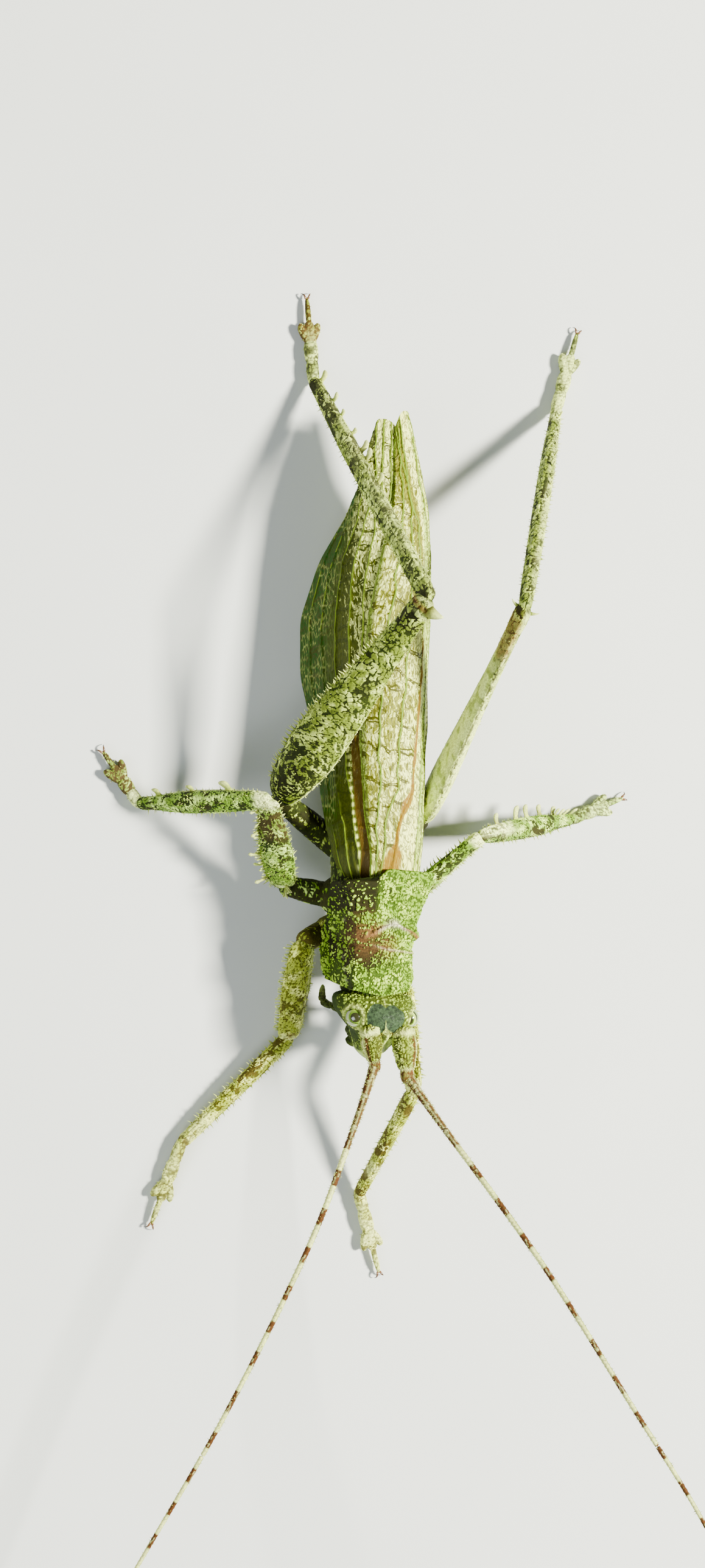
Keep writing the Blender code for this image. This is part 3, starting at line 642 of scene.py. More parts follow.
def add_eye(side):
    """A bead whose poles point to the left and right, with the pattern turned to its spot."""
    outwards = 1 if side == "left" else -1
    turn = np.linspace(0.02, math.pi - 0.02, eye_rows)
    centre = eye_middle[side] + trunk_side * (eye_radius * np.cos(turn))[:, None]
    radius = eye_radius * np.sin(turn)
    rows = rings(centre, trunk_turn[:, 1], trunk_up, radius, radius, eye_columns)
    way = ((rows - eye_middle[side]) / eye_radius) @ trunk_turn
    look, wide = eye_looks[side]
    slope = np.arccos(np.clip(way @ unit(np.array(look)), -1, 1))
    edge = way[..., 0] * outwards
    stripes = np.cos(22 * np.arctan2(way[..., 2], -way[..., 1])) * rise(-way[..., 1], 0.1, 0.5)
    values = {
        "spot": rise(slope, wide + 0.05, wide - 0.05),
        "ring": hump(slope, 1.05, 0.16) * rise(way[..., 1], -0.45, 0.0) + 0.9 * rise(stripes, 0.3, 0.9),
        "band": rise(slope, wide + 0.1, wide + 0.25) * (1 - 0.5 * rise(slope, 0.8, 1.0)),
        "rim": rise(edge, 0.0, -0.2) + hump(slope, wide + 0.24, 0.14) * (side == "left"),
    }
    make_piece("eye_bead_" + side, [surface(rows, values)], eye_glass, ("eye_" + side,))


for side in ("left", "right"):
    add_eye(side)


# ---------------------------------------------------------------- mouthparts
# Below the cheeks: a rounded upper lip, two toothed jaws, and two pairs of jointed palps of
# dark horn. Each is a short tube of its own, set in the soft skin of the mouth.

# stations from the head's middle (left, tail, back) and their radii
jaw_stations = (
    (0.55, -0.6, -2.9, 0.4), (0.5, -0.85, -3.4, 0.42), (0.35, -1.0, -3.85, 0.28), (0.2, -1.05, -4.05, 0.1),
)
long_palp_stations = (
    (1.05, 0.5, -3.2, 0.22), (1.9, 0.9, -4.05, 0.26), (2.8, 1.4, -3.9, 0.32), (3.05, 2.7, -3.4, 0.18),
)
short_palp_stations = ((0.3, 0.6, -3.2, 0.2), (0.35, 0.8, -4.0, 0.2), (0.35, 0.7, -4.5, 0.22))
lip_stations = (
    (0.0, -1.35, -3.0, 0.78), (0.0, -1.5, -3.6, 0.8), (0.0, -1.45, -4.0, 0.68), (0.0, -1.4, -4.3, 0.4),
)
lip_flatness = 0.36
jaw_flatness = 0.8
mouth_rows = 90
mouth_columns = 40


def smooth_route(controls, count):
    """Points at even steps along a soft curve through the control points."""
    controls = np.asarray(controls, float)
    padded = np.concatenate([[2 * controls[0] - controls[1]], controls, [2 * controls[-1] - controls[-2]]])
    position = np.linspace(0, len(controls) - 1, count)
    span = np.minimum(position.astype(int), len(controls) - 2)
    t = (position - span)[:, None]
    before, start, end, after = (padded[span + step] for step in range(4))
    return 0.5 * (
        2 * start + (end - before) * t + (2 * before - 5 * start + 4 * end - after) * t ** 2
        + (3 * start - before - 3 * end + after) * t ** 3
    )


def level_across(axis):
    """The level directions at right angles to these."""
    return unit(np.cross(axis, (0.0, 0.0, 1.0)))


def tube(route, radius, columns, flatness=1.0):
    """Rows of rings round a route; flatness squeezes them from top to bottom."""
    axis = unit(np.gradient(route, axis=0))
    side = level_across(axis)
    return rings(route, side, np.cross(side, axis), radius, radius * flatness, columns)


def add_mouthpart(name, stations, sign, node, flatness=1.0, joints=0):
    """A tube through its stations, drawn in at its joints and closed as a dome at both ends."""
    stations = np.array(stations) * (sign, 1.0, 1.0, 1.0)
    route = smooth_route(stations, mouth_rows)
    share = np.linspace(0, 1, mouth_rows)
    waist = 1 - 0.28 * sum(hump(share, (number + 1) / (joints + 1), 0.03) for number in range(joints))
    radius = route[:, 3] * round_ends(share, 0.1, 0.12) * waist
    rows = tube(in_head(route[:, :3]), radius, mouth_columns, flatness)
    grain, own = granules(rows, 0.24, 51)
    rows = raised(rows, 0.03 * grain)
    values = {
        "grain": 0.35 + 0.5 * grain,
        "patch": 1.0,
        "rust": 0.5 * rise(share, 0.5, 1.0)[:, None] * own,
        "bone": 0.6 * hump(share, 1.0, 0.08)[:, None] * (1 if joints else 0),
    }
    make_piece(name, [surface(rows, values)], mouth_finish, (node,))


mouth_finish = lichen_finish(
    "mouth_horn", (0.014, 0.020, 0.001), (0.040, 0.060, 0.005), (0.09, 0.12, 0.015),
    (0.014, 0.018, 0.001), (0.06, 0.03, 0.005), (0.22, 0.28, 0.06), bump=0.35,
)
add_mouthpart("upper_lip", lip_stations, 1, "labrum", lip_flatness)
for side, sign in (("left", 1), ("right", -1)):
    add_mouthpart("jaw_" + side, jaw_stations, sign, "mandible_" + side, jaw_flatness)
    add_mouthpart("palp_long_" + side, long_palp_stations, sign, "palp_maxillary_" + side, joints=2)
    add_mouthpart("palp_short_" + side, short_palp_stations, sign, "palp_labial_" + side, joints=1)


# ---------------------------------------------------------------- feelers
# Each feeler has a stout warty first joint, a small second one, and a thread of hundreds of
# tiny rings, longer than the body, banded red-brown and straw and set with fine bristles.

feeler_routes = {
    "left": (
        (1.95, -15.9, 10.3), (3.9, -19.2, 12.5), (9.9, -29.1, 19.5),
        (15.3, -39.2, 25.0), (19.8, -47.4, 28.0), (25.0, -58.5, 29.6), (31.0, -72.5, 28.4),
    ),
    "right": (
        (-0.49, -15.1, 9.6), (-2.9, -19.9, 12.0), (-6.7, -28.3, 13.5),
        (-12.9, -40.5, 13.0), (-19.2, -52.0, 11.0), (-26.2, -65.0, 8.2), (-33.0, -78.5, 5.5),
    ),
}
feeler_socket = np.array((1.42, 0.0, 3.35))
# share of the way from the socket to the thread, radius
scape_stations = np.array((
    (-0.04, 0.45), (0.08, 0.66), (0.2, 0.72), (0.35, 0.78), (0.5, 0.76), (0.65, 0.66), (0.82, 0.54),
    (0.89, 0.43), (0.94, 0.46), (1.02, 0.45), (1.08, 0.42), (1.14, 0.34),
))
scape_stoutness = {"left": 1.16, "right": 1.0}
scape_rows = 130
scape_columns = 110
scape_grain_size = 0.2
# how many bristles, their length and radius
scape_bristles = 60, 0.2, 0.03
thread_bristle_length, thread_bristle_radius = 0.16, 0.02
thread_radii = (0.29, 0.1)
thread_root_radius = 0.46
thread_root_length = 2.2
thread_rows = 1100
thread_columns = 14
thread_parts = (("base", 0.0, 0.18), ("middle", 0.18, 0.55), ("tip", 0.55, 1.0))
thread_ring_length = 0.36
band_length = 3.1

# For each kind of bristle: height, width and how far it leans, in shares of its length and radius
bristle_profiles = {
    "spine": ((-0.15, 1.1, 0.0), (0.3, 0.8, 0.02), (0.65, 0.5, 0.08), (0.9, 0.25, 0.17), (1.0, 0.06, 0.22)),
    "club": ((-0.15, 1.2, 0.0), (0.25, 0.75, 0.0), (0.6, 0.7, 0.04), (0.85, 1.05, 0.1), (1.0, 0.4, 0.13)),
    "leaf": (
        (-0.12, 1.1, 0.0), (0.2, 0.75, 0.04), (0.5, 0.95, 0.16), (0.75, 1.1, 0.32),
        (0.92, 0.85, 0.42), (1.0, 0.35, 0.48),
    ),
}
leaf_thinness = 0.45
bristle_sides = 6
bristle_map_half = 0.0015


def bristles(roots, normals, axes, lengths, radii, kind, flat_map, seed, tip_value):
    """Small closed thorns on these roots: straight, hooked towards their axis, or leafy."""
    profile = bristle_profiles[kind]
    thin = leaf_thinness if kind == "leaf" else 1.0
    sides = bristle_sides
    count = len(roots)
    turn = turns(sides)
    cross = unit(np.cross(normals, axes))
    rows = []
    for height, width, lean in profile:
        middle = roots + normals * (lengths * height)[:, None] + axes * (lengths * lean)[:, None]
        circle = axes[:, None] * np.cos(turn)[:, None] + thin * cross[:, None] * np.sin(turn)[:, None]
        rows.append(middle[:, None] + circle * (radii * width)[:, None, None])
    points = np.stack(rows, 1)
    levels = len(profile)
    number = np.arange(count * levels * sides).reshape(count, levels, sides)
    wrapped = np.concatenate([number, number[..., :1]], -1)
    quads = np.stack([
        wrapped[:, :-1, :-1], wrapped[:, :-1, 1:], wrapped[:, 1:, 1:], wrapped[:, 1:, :-1]
    ], -1).reshape(-1, 4)
    first = points[0].reshape(levels, sides, 3)
    way = np.cross(first[0, 1] - first[0, 0], first[1, 0] - first[0, 0]) @ (first[0, 0] - first[0].mean(0))
    caps = np.concatenate([number[:, 0, ::-1], number[:, -1]])
    if way < 0:
        quads, caps = quads[:, ::-1], caps[:, ::-1]
    across = bristle_map_half * np.cos(turn) + flat_map[:, 0, None, None]
    up = bristle_map_half * (2 * np.linspace(0, 1, levels) - 1)[:, None] + flat_map[:, 1, None, None]
    corner_map = np.stack(np.broadcast_arrays(across, up), -1).reshape(-1, 2)
    share = np.array([max(0.0, height) for height, _, _ in profile])
    own = numbers_at(np.stack([np.arange(count), np.arange(count) * 3 + 1], -1), seed)
    share, own = share[:, None], own[:, None, None]
    masks = {
        "grain": 0.5 + 0.5 * share,
        "patch": 0 * share,
        "rust": (own > 0.72) * 0.55 * (1 - share),
        "bone": tip_value * share * (0.4 + 0.6 * own),
    }
    values = {name: np.broadcast_to(mask, points.shape[:3]).reshape(-1) for name, mask in masks.items()}
    faces = [*quads.tolist(), *caps.tolist()]
    return {
        "points": points.reshape(-1, 3), "values": values, "faces": faces,
        "map": corner_map[np.concatenate([quads.ravel(), caps.ravel()])],
    }


def scattered(rows, count, seed, first=0.0, last=1.0):
    """Row and ring numbers of places scattered over rows of rings."""
    order = np.arange(count)
    row = first + (last - first) * numbers_at(np.stack([order, 0 * order + 1], -1), seed)
    column = numbers_at(np.stack([order, 0 * order + 2], -1), seed)
    return (row * (rows.shape[0] - 1)).astype(int), (column * rows.shape[1]).astype(int)


def bristles_on(rows, picks, length, radius, kind, map_box, seed, tip_value=1.0):
    """Bristles on picked places of a skin, leaning along its length."""
    row, column = picks
    normal = outward(rows)[row, column]
    axis = unit(np.gradient(rows.mean(1), axis=0)[row])
    axis = unit(axis - normal * (axis * normal).sum(-1, keepdims=True))
    own = numbers_at(np.stack([row, column], -1), seed)
    left, low, right, high = map_box
    flat_map = np.stack([
        left + (right - left) * column / rows.shape[1], low + (high - low) * row / rows.shape[0]
    ], -1)
    lengths, radii = length * (0.65 + 0.6 * own), radius * (0.8 + 0.4 * own)
    return bristles(rows[row, column], normal, axis, lengths, radii, kind, flat_map, seed, tip_value)


def add_scape(side, sign, socket, thread_start):
    """The stout first joint and the small second one, from the socket to the thread."""
    share = np.linspace(scape_stations[0, 0], scape_stations[-1, 0], scape_rows)
    radius, = read(scape_stations, share, 0.02)
    radius = radius * round_ends((share - share[0]) / (share[-1] - share[0]), 0.08, 0.03)
    radius = radius * scape_stoutness[side]
    rows = tube(socket + (thread_start - socket) * share[:, None], radius, scape_columns)
    angle = turns(scape_columns)[None, :]
    bent = rows + 0.5 * np.stack([clouds(rows, 0.4, 60 + axis) for axis in range(3)], -1)
    grain, _ = granules(bent * (1.0, 0.6, 1.0), scape_grain_size, 61, 0.74)
    share = share[:, None]
    warty = rise(0.86 - share, 0.0, 0.06)
    collar = hump(share, 0.1, 0.07)
    rows = raised(rows, 0.1 * grain * warty + 0.02 * grain + 0.08 * collar)
    stripe = hump(angle, math.pi / 2 + sign * 0.75, 0.2) * rise(share, 0.12, 0.25)
    strip = hump(angle, math.pi / 2 + sign * 1.25, 0.28) * rise(share, 0.2, 0.3)
    inside = hump(angle, math.pi / 2 - sign * 0.9, 0.5) * rise(clouds(rows, 0.7, 64), 0.4, 0.7)
    pale = (0.2 if side == "left" else 0.0) + 0.7 * collar + strip - 0.7 * stripe - 0.4 * inside
    values = {
        "grain": np.clip(pale + grain, 0, 1.1),
        "patch": 0.5 * rise(clouds(rows, 0.8, 62), 0.4, 0.7) + 0.4 * stripe,
        "rust": np.clip(0.8 * rise(share, 0.84, 0.93) + 0.75 * stripe, 0, 0.9),
        "bone": np.clip(0.45 * collar + 0.6 * strip + 0.35 * hump(share, 0.86, 0.03), 0, 0.9),
    }
    many, length, thick = scape_bristles
    picks = scattered(rows, many, 64, 0.3, 0.9)
    tufts = bristles_on(rows, picks, length, thick, "spine", whole_map, 65)
    node = f"antenna_{side}_scape"
    make_piece("scape_" + side, [surface(rows, values), tufts], feeler_finish, (node,))


def add_thread(side, sign, route):
    """The long thread of rings, in three lengths."""
    points = smooth_route(route, thread_rows)
    share = np.linspace(0, 1, thread_rows)
    step = np.concatenate([[0.0], np.cumsum(np.linalg.norm(np.diff(points, axis=0), axis=-1))])
    ring = (step / thread_ring_length) % 1.0
    radius = np.interp(share, (0, 1), thread_radii)
    radius = radius + (thread_root_radius - thread_radii[0]) * np.exp(-step / thread_root_length)
    radius = radius * (1 - 0.14 * hump(ring, 0.5, 0.16))
    angle = turns(thread_columns)
    for part, start, end in thread_parts:
        inside = slice(int(start * thread_rows), min(thread_rows, int(end * thread_rows) + 1))
        stretch = share[inside]
        ends = round_ends((stretch - stretch[0]) / (stretch[-1] - stretch[0]), 0.004, 0.004)
        rows = tube(points[inside], radius[inside] * ends, thread_columns)
        along = step[inside]
        flat = np.stack([along, 0 * along], -1)
        wave = np.sin(2 * math.pi * along / band_length + 2.2 * clouds(flat, 5.0, 66 + sign))
        dark = rise(wave + 0.5 * clouds(flat, 0.5, 68), 0.3, 0.6)
        dark = np.maximum(dark, rise(along, 8.0, 6.0))[:, None]
        # Painted shade: one side of the thread is made darker and olive, and loses its pale colour.
        under = rise(np.cos(angle - 3.4), 0.1, 0.7)[None, :]
        line = (hump(angle, 1.4, 0.2) + hump(angle, 2.9, 0.4))[None, :] * rise(along, 10.0, 7.0)[:, None]
        places = np.broadcast_arrays(np.floor(along / 0.3)[:, None], np.arange(thread_columns)[None, :])
        dots = numbers_at(np.stack(places, -1), 72) > 0.86
        values = {
            "grain": np.clip(0.9 - 0.75 * dark - 0.55 * under * (1 - dark), 0, 1),
            "patch": 0.8 * dark + 0.3 * under,
            "rust": np.clip(0.7 * dark * (1 - line) - 0.6 * dots, 0, 1),
            "bone": np.clip(0.75 * (1 - dark) * (1 - under) + 0.75 * line + 0.7 * dots * dark, 0, 0.85),
        }
        number = int(np.interp((start + end) / 2, (0, 1), (150, 20)) * (end - start) * 12)
        sizes = thread_bristle_length, thread_bristle_radius
        tufts = bristles_on(rows, scattered(rows, number, 70), *sizes, "spine", whole_map, 71)
        node = f"antenna_{side}_{part}"
        skins = [surface(rows, values), tufts]
        make_piece(f"feeler_{part}_{side}", skins, feeler_finish, (node,))


feeler_finish = lichen_finish(
    "feeler_horn", (0.05, 0.062, 0.003), (0.20, 0.26, 0.015), (0.56, 0.68, 0.12),
    (0.045, 0.032, 0.004), (0.09, 0.022, 0.005), (0.70, 0.72, 0.27),
    bump=0.35, depth=0.02,
)
for side, sign in (("left", 1), ("right", -1)):
    route = np.array(feeler_routes[side]) + (trunk_place[0], trunk_place[1], 0.0)
    add_scape(side, sign, in_head(feeler_socket * (sign, 1.0, 1.0)), route[0])
    add_thread(side, sign, route)


# ---------------------------------------------------------------- shield
# The saddle-shaped shield over the thorax: one stiff plate, thick with pale worm-like grains,
# with a cross ridge that peaks at the middle, a pinched front and low knobs along its edges.

shield_length = 9.6
shield_thickness = 0.5
# share from the front, disc half width, lobe half width, top height, lobe depth
shield_stations = np.array((
    (0.0, 2.45, 2.95, 3.72, -1.7),
    (0.12, 2.55, 3.1, 4.0, -2.3),
    (0.3, 2.4, 3.2, 4.0, -2.4),
    (0.42, 2.4, 3.2, 3.92, -2.3),
    (0.5, 2.6, 3.2, 4.55, -2.0),
    (0.58, 2.55, 3.1, 4.05, -1.6),
    (0.75, 3.0, 3.2, 4.2, -0.8),
    (0.9, 3.5, 3.6, 4.5, 0.0),
    (1.0, 3.7, 3.7, 4.6, 0.9),
))
shield_fold = 0.45
shield_middle = 0.4
shield_rows = 230
shield_columns = 290
shield_under_columns = 24
shield_grain_size = 0.25
small_grain_size = 0.17
knob_shares = (0.08, 0.17, 0.27, 0.38, 0.49, 0.6, 0.7, 0.8, 0.9, 0.97)


def shield_places(share, turn):
    """Places on the shield: share runs to the rear, turn from the right edge to the left one."""
    disc, lobe, top, low = read(shield_stations, share, 0.015)
    amount = np.abs(turn)
    flat = np.clip(amount / shield_fold, 0, 1)
    down = np.clip((amount - shield_fold) / (1 - shield_fold), 0, 1)
    x = np.where(down > 0, disc + (lobe - disc) * np.sin(down * math.pi / 2) ** 1.3, disc * flat)
    z = np.where(down > 0, top - 0.5 + (low - top + 0.5) * down ** 0.85, top - 0.5 * flat ** 3)
    y = -shield_length * (1 - share) + amount * (0.9 - 1.25 * share)
    y = y + (0.4 - 0.9 * rise(-x * np.sign(turn), 0.2, 1.5) * (turn < 0)) * rise(share, 0.8, 1.0)
    return np.stack([x * np.sign(turn), y, z], -1)


def thin_sheet(top, lift, depth, count):
    """Rows right round a thin sheet, its upper face lifted, and the columns that its under face repeats."""
    normal = unit(np.cross(np.gradient(top, axis=1), np.gradient(top, axis=0)))
    normal *= np.sign((normal @ trunk_up)[top.shape[0] // 2, top.shape[1] // 2])
    columns = np.linspace(top.shape[1] - 1, 0, count).astype(int)
    inner = top[:, columns] - normal[:, columns] * depth[:, columns, None]
    return np.concatenate([top + normal * lift[..., None], inner], axis=1), columns


def add_shield():
    steps = np.linspace(0, 1, shield_rows), np.linspace(-1, 1, shield_columns)
    share, turn = np.meshgrid(*steps, indexing="ij")
    place = shield_places(share, turn)
    left = place[..., 0] - shield_middle
    warp = np.stack([clouds(place, 0.45, 31 + axis) for axis in range(3)], -1)
    grain, own = granules(place * (1.0, 0.8, 1.0) + 0.35 * warp, shield_grain_size, 35, 0.74)
    # Painted shade on the shield's right half, which faces away from the key lamp: a dark block at the
    # rear, which is a painted cast shadow, the dark side lobe and two dark places further forward.
    dark = rise(left, -1.1, -1.7) * rise(share, 0.64, 0.7) + 0.45 * rise(left, -2.3, -3.1)
    dark = dark + 0.5 * near(place, (-1.7, -6.4, 3.9), (0.9, 1.1, 1.5))
    dark = np.clip(dark + 0.9 * near(place, (-2.2, -5.1, 3.6), (1.1, 1.5, 2.5)), 0, 1)
    # Fewer grains stay where the shade is painted, and fewer on the right half in general.
    sparse_in_shade = 0.75 * dark + 0.4 * rise(clouds(place, 1.3, 36), 0.5, 0.72) * rise(left, 0.6, -0.6)
    grain = grain * rise(own, sparse_in_shade - 0.04, sparse_in_shade + 0.04)
    small, chance = granules(place, small_grain_size, 34, 0.55)
    grain = np.maximum(grain, 0.8 * small * (chance > 0.45 + 0.35 * dark))
    # Brown clouds on the right half only: more painted shade.
    brown = 0.8 * rise(clouds(place, 1.3, 38), 0.5, 0.75) * rise(left, 0.8, -0.4)
    ridge_at = 0.6 - 0.055 * np.abs(left)
    ridge = hump(share, ridge_at, 0.014) * rise(2.9 - np.abs(left), 0.0, 0.9)
    smear = hump(share, ridge_at + 0.012, 0.035) * near(place, (-1.15, -4.6, 3.9), (1.1, 1.0, 1.5))
    fold = hump(share, 0.38 - 0.02 * left, 0.009) * rise(2.2 - np.abs(left - 0.6), 0.0, 0.6)
    keel = hump(left, 0.0, 0.1) * rise(share, 0.05, 0.12) * (0.5 + 0.5 * clouds(place, 0.4, 37))
    peak = hump(share, 0.595, 0.03) * hump(left, 0.0, 0.4)
    notch = near(place, (shield_middle + 0.1, -9.1, 3.7), (0.22, 0.3, 0.5))
    groove = hump(share, 0.34 + 0.015 * np.abs(left), 0.012) + 0.8 * hump(share, 0.02, 0.012) + 1.4 * notch
    knob = np.zeros_like(share)
    for sign in (-1, 1):
        for number, at in enumerate(knob_shares):
            wide = 0.5 + 0.04 * (number % 3)
            middle = shield_places(np.array(at), np.array(sign * wide))
            knob += near(place, middle, 0.2) * (1.0 if number % 2 else 0.65)
    lift = 0.13 * grain + 0.16 * ridge + 0.26 * peak + 0.05 * keel
    lift = lift + 0.07 * fold - 0.12 * groove + 0.3 * knob
    rim = np.sqrt(np.clip(1 - (1 - np.clip(np.minimum(share, 1 - share) / 0.02, 0, 1)) ** 2, 0, 1))
    lift = lift * rim - 0.12 * (1 - rim)
    depth = shield_thickness * (0.5 + 0.5 * rim)
    rows, columns = thin_sheet(in_trunk(place), lift, depth, shield_under_columns)
    pink = 0.7 * near(place, (0.1, -5.6, 3.9), (0.9, 0.8, 1.5)) * (0.4 + 0.6 * own)
    tan = 0.45 * near(place, (-1.9, -4.9, 3.7), (1.1, 1.5, 2.0)) * (1 - grain)
    side_ridge = ridge * rise(np.abs(left), 0.4, 1.1)
    top_ridge = ridge * rise(1.6 - np.abs(left), 0, 1.2)
    pale_knob = 0.45 * knob * (1 - dark)
    values = {
        "grain": (grain * (1 - 0.6 * ridge) + 0.8 * knob * (1 - 0.7 * dark)) * (1 - notch),
        "patch": np.clip(dark + brown, 0, 1),
        "rust": np.clip(0.8 * side_ridge + 0.8 * smear + 0.4 * fold + pink + tan, 0, 0.85),
        "bone": np.clip(0.95 * top_ridge + 0.8 * peak + pale_knob + 0.3 * fold, 0, 0.9),
    }
    # The under face takes the near-black patch colour all over: painted shade under the shield.
    for name, value in values.items():
        under = np.full_like(value[:, columns], 1.0 if name == "patch" else 0.0)
        values[name] = np.concatenate([value, under], axis=1)
    make_piece("shield", [surface(rows, values)], shield_finish, ("pronotum",))


# The near-black patch colour also serves as the painted shade of the right half and of the under face.
shield_finish = lichen_finish(
    "shield_skin", (0.040, 0.080, 0.002), (0.19, 0.34, 0.010), (0.50, 0.72, 0.06),
    (0.012, 0.012, 0.0006), (0.24, 0.11, 0.035), (0.76, 0.70, 0.46),
)
add_shield()


# ---------------------------------------------------------------- fore wings
# Two leathery wings, folded like a roof, the left one over the right. Each is a thin sheet
# stiffened by lengthwise ribs and double cross ribs, and scribbled all over with brown dashes.

wing_lengths = {"left": 36.6, "right": 35.8}
wing_lowered = {"left": 0.0, "right": 0.42}
wing_thickness = 0.16
wing_back_share = 0.55
wing_rows = 380
wing_columns = 200
wing_under_columns = 26
bead_step = 0.62
# share of the length, ridge height, bend half width, edge half width, edge height
wing_stations = np.array((
    (0.0, 4.3, 2.7, 3.2, 1.0),
    (0.12, 4.1, 3.0, 3.3, -0.4),
    (0.28, 3.8, 3.2, 4.4, -3.0),
    (0.42, 3.4, 3.3, 5.4, -4.5),
    (0.55, 2.9, 3.3, 5.6, -4.7),
    (0.68, 2.4, 3.1, 4.7, -3.4),
    (0.78, 1.8, 2.7, 3.3, -1.6),
    (0.88, 1.0, 2.2, 2.3, -0.9),
    (0.96, 0.5, 1.7, 1.8, -0.7),
    (1.0, 0.2, 1.3, 1.4, -0.6),
))
# how far each wing's back edge reaches past the middle of the back, at the same shares
wing_overlaps = {
    "left": (1.5, 2.2, 2.6, 2.5, 2.2, 1.4, 0.6, 0.05, -0.2, -0.3),
    "right": (1.6, 2.3, 2.6, 2.5, 2.2, 1.6, 1.2, 0.9, 0.6, 0.45),
}
# Each rib's place across the wing (0 at the edge on the back, 1 at the side) along its length.
rib_shares = (0.0, 0.1, 0.17, 0.25, 0.5, 0.75, 1.0)
streak_rib = 3
ribs = {
    "left": (
        (0.012, 0.012, 0.012, 0.012, 0.012, 0.015, 0.02),
        (0.05, 0.13, 0.15, 0.15, 0.15, 0.16, 0.20),
        (0.11, 0.20, 0.29, 0.285, 0.28, 0.28, 0.30),
        (0.22, 0.33, 0.43, 0.42, 0.42, 0.36, 0.10),
        (0.53, 0.54, 0.53, 0.50, 0.50, 0.52, 0.55),
        (0.60, 0.60, 0.59, 0.565, 0.57, 0.62, 0.66),
        (0.72, 0.71, 0.70, 0.69, 0.70, 0.74, 0.78),
        (0.84, 0.82, 0.81, 0.81, 0.82, 0.86, 0.88),
        (0.96, 0.96, 0.96, 0.96, 0.96, 0.96, 0.96),
    ),
    "right": (
        (0.012, 0.012, 0.012, 0.012, 0.012, 0.015, 0.02),
        (0.08, 0.12, 0.15, 0.17, 0.18, 0.19, 0.22),
        (0.14, 0.22, 0.27, 0.30, 0.31, 0.32, 0.36),
        (0.26, 0.33, 0.39, 0.42, 0.44, 0.45, 0.48),
        (0.46, 0.50, 0.52, 0.53, 0.54, 0.56, 0.60),
        (0.58, 0.62, 0.63, 0.64, 0.66, 0.69, 0.74),
        (0.72, 0.74, 0.75, 0.76, 0.78, 0.82, 0.87),
        (0.86, 0.87, 0.87, 0.88, 0.90, 0.93, 0.95),
    ),
}
cross_rib_steps = (1.9, 1.7, 2.3, 2.4, 2.1, 1.6, 1.9, 2.3, 1.7, 2.0)
# the fields between lengthwise ribs that have cross ribs
crossed_fields = {"left": (1, 2, 3), "right": (0, 1, 2, 3, 4, 5, 6, 7)}


def wing_places(share, turn, side):
    """Places on a wing's upper face, from its base to its tip and from back edge to side edge."""
    ridge, bend, edge, low = read(wing_stations, share, 0.02)
    overlap = np.interp(share, wing_stations[:, 0], wing_overlaps[side])
    shoulder = 0.28 * (ridge - low)
    down = np.clip((turn - wing_back_share) / (1 - wing_back_share), 0, 1)
    back = np.clip(turn / wing_back_share, 0, 1) * (bend + overlap) - overlap
    x = np.where(down > 0, bend + (edge - bend) * down ** 1.3 + 0.25 * np.sin(math.pi * down), back)
    z = np.where(down > 0, ridge - shoulder + (low - ridge + shoulder) * down,
                 ridge - shoulder * np.abs(np.minimum(back, bend) / bend) ** 2.4)
    sunk = wing_lowered[side] * (1 - 0.8 * rise(turn, 0.5, 0.8)) * (1 - 0.45 * rise(share, 0.65, 0.85))
    root = rise(share, 0.045, 0.0)
    curl = 0.3 * rise(turn, 0.03, 0.0) * rise(share, 0.0, 0.1)
    rounded = 1.7 * np.abs(2 * turn - 0.95) ** 2.5 * rise(share, 0.75, 1.0)
    y = 0.3 + wing_lengths[side] * share - rounded - 1.0 * root
    if side == "right":
        x = x + 0.9 * down * hump(share, 0.12, 0.1)
        x = np.where(x > 0.3, 0.3 + (x - 0.3) * (0.5 + 0.5 * rise(share, -0.03, 0.04)), x)
    else:
        x = x - 0.5 * rise(share, 0.75, 1.0)
    return in_trunk(np.stack([x * (1 if side == "left" else -1), y, z - sunk - curl - 0.5 * root], -1))


def rib_gaps(share, across, width, side):
    """For each place: millimetres to the nearest lengthwise rib and cross rib, and its field."""
    lines = np.stack([np.interp(share[:, 0], rib_shares, rib) for rib in ribs[side]], -1)
    lines = lines[:, None, :] * width[:, None, None]
    outside = np.full_like(lines[..., :1], -9.0), width[:, None, None] + 9.0 + 0 * lines[..., :1]
    lines = np.concatenate([outside[0], lines, outside[1]], -1)
    along = share * wing_lengths[side]
    order = np.arange(lines.shape[-1]) + 0 * along[:, :1, None]
    sway = clouds(np.stack([along[:, :1, None] + 0 * order, 5.0 * order], -1), 1.1, 42) - 0.5
    lines = lines + 0.3 * sway * ((order > 1) & (order < lines.shape[-1] - 2))
    nearest = np.abs(across[..., None] - lines).min(-1)
    field = (across[..., None] > lines).sum(-1) - 1
    spread = np.broadcast_to(lines, across.shape + lines.shape[-1:])
    low = np.take_along_axis(spread, field[..., None], -1)[..., 0]
    step = np.array(cross_rib_steps)[field % len(cross_rib_steps)]
    wave = 0.5 * clouds(np.stack([along, across], -1), 0.5, 41)
    slanted = along + 0.3 * (across - low) + wave + 3.1 * field
    number = np.floor(slanted / step)

    def lean(count):
        return 0.6 * (numbers_at(np.stack([count, field], -1), 43) - 0.5)

    gaps = [np.abs(slanted - (number + more + lean(number + more)) * step) for more in (-1, 0, 1, 2)]
    crossed = np.isin(field, crossed_fields[side])
    return nearest, np.where(crossed, np.minimum.reduce(gaps), 1.0), field


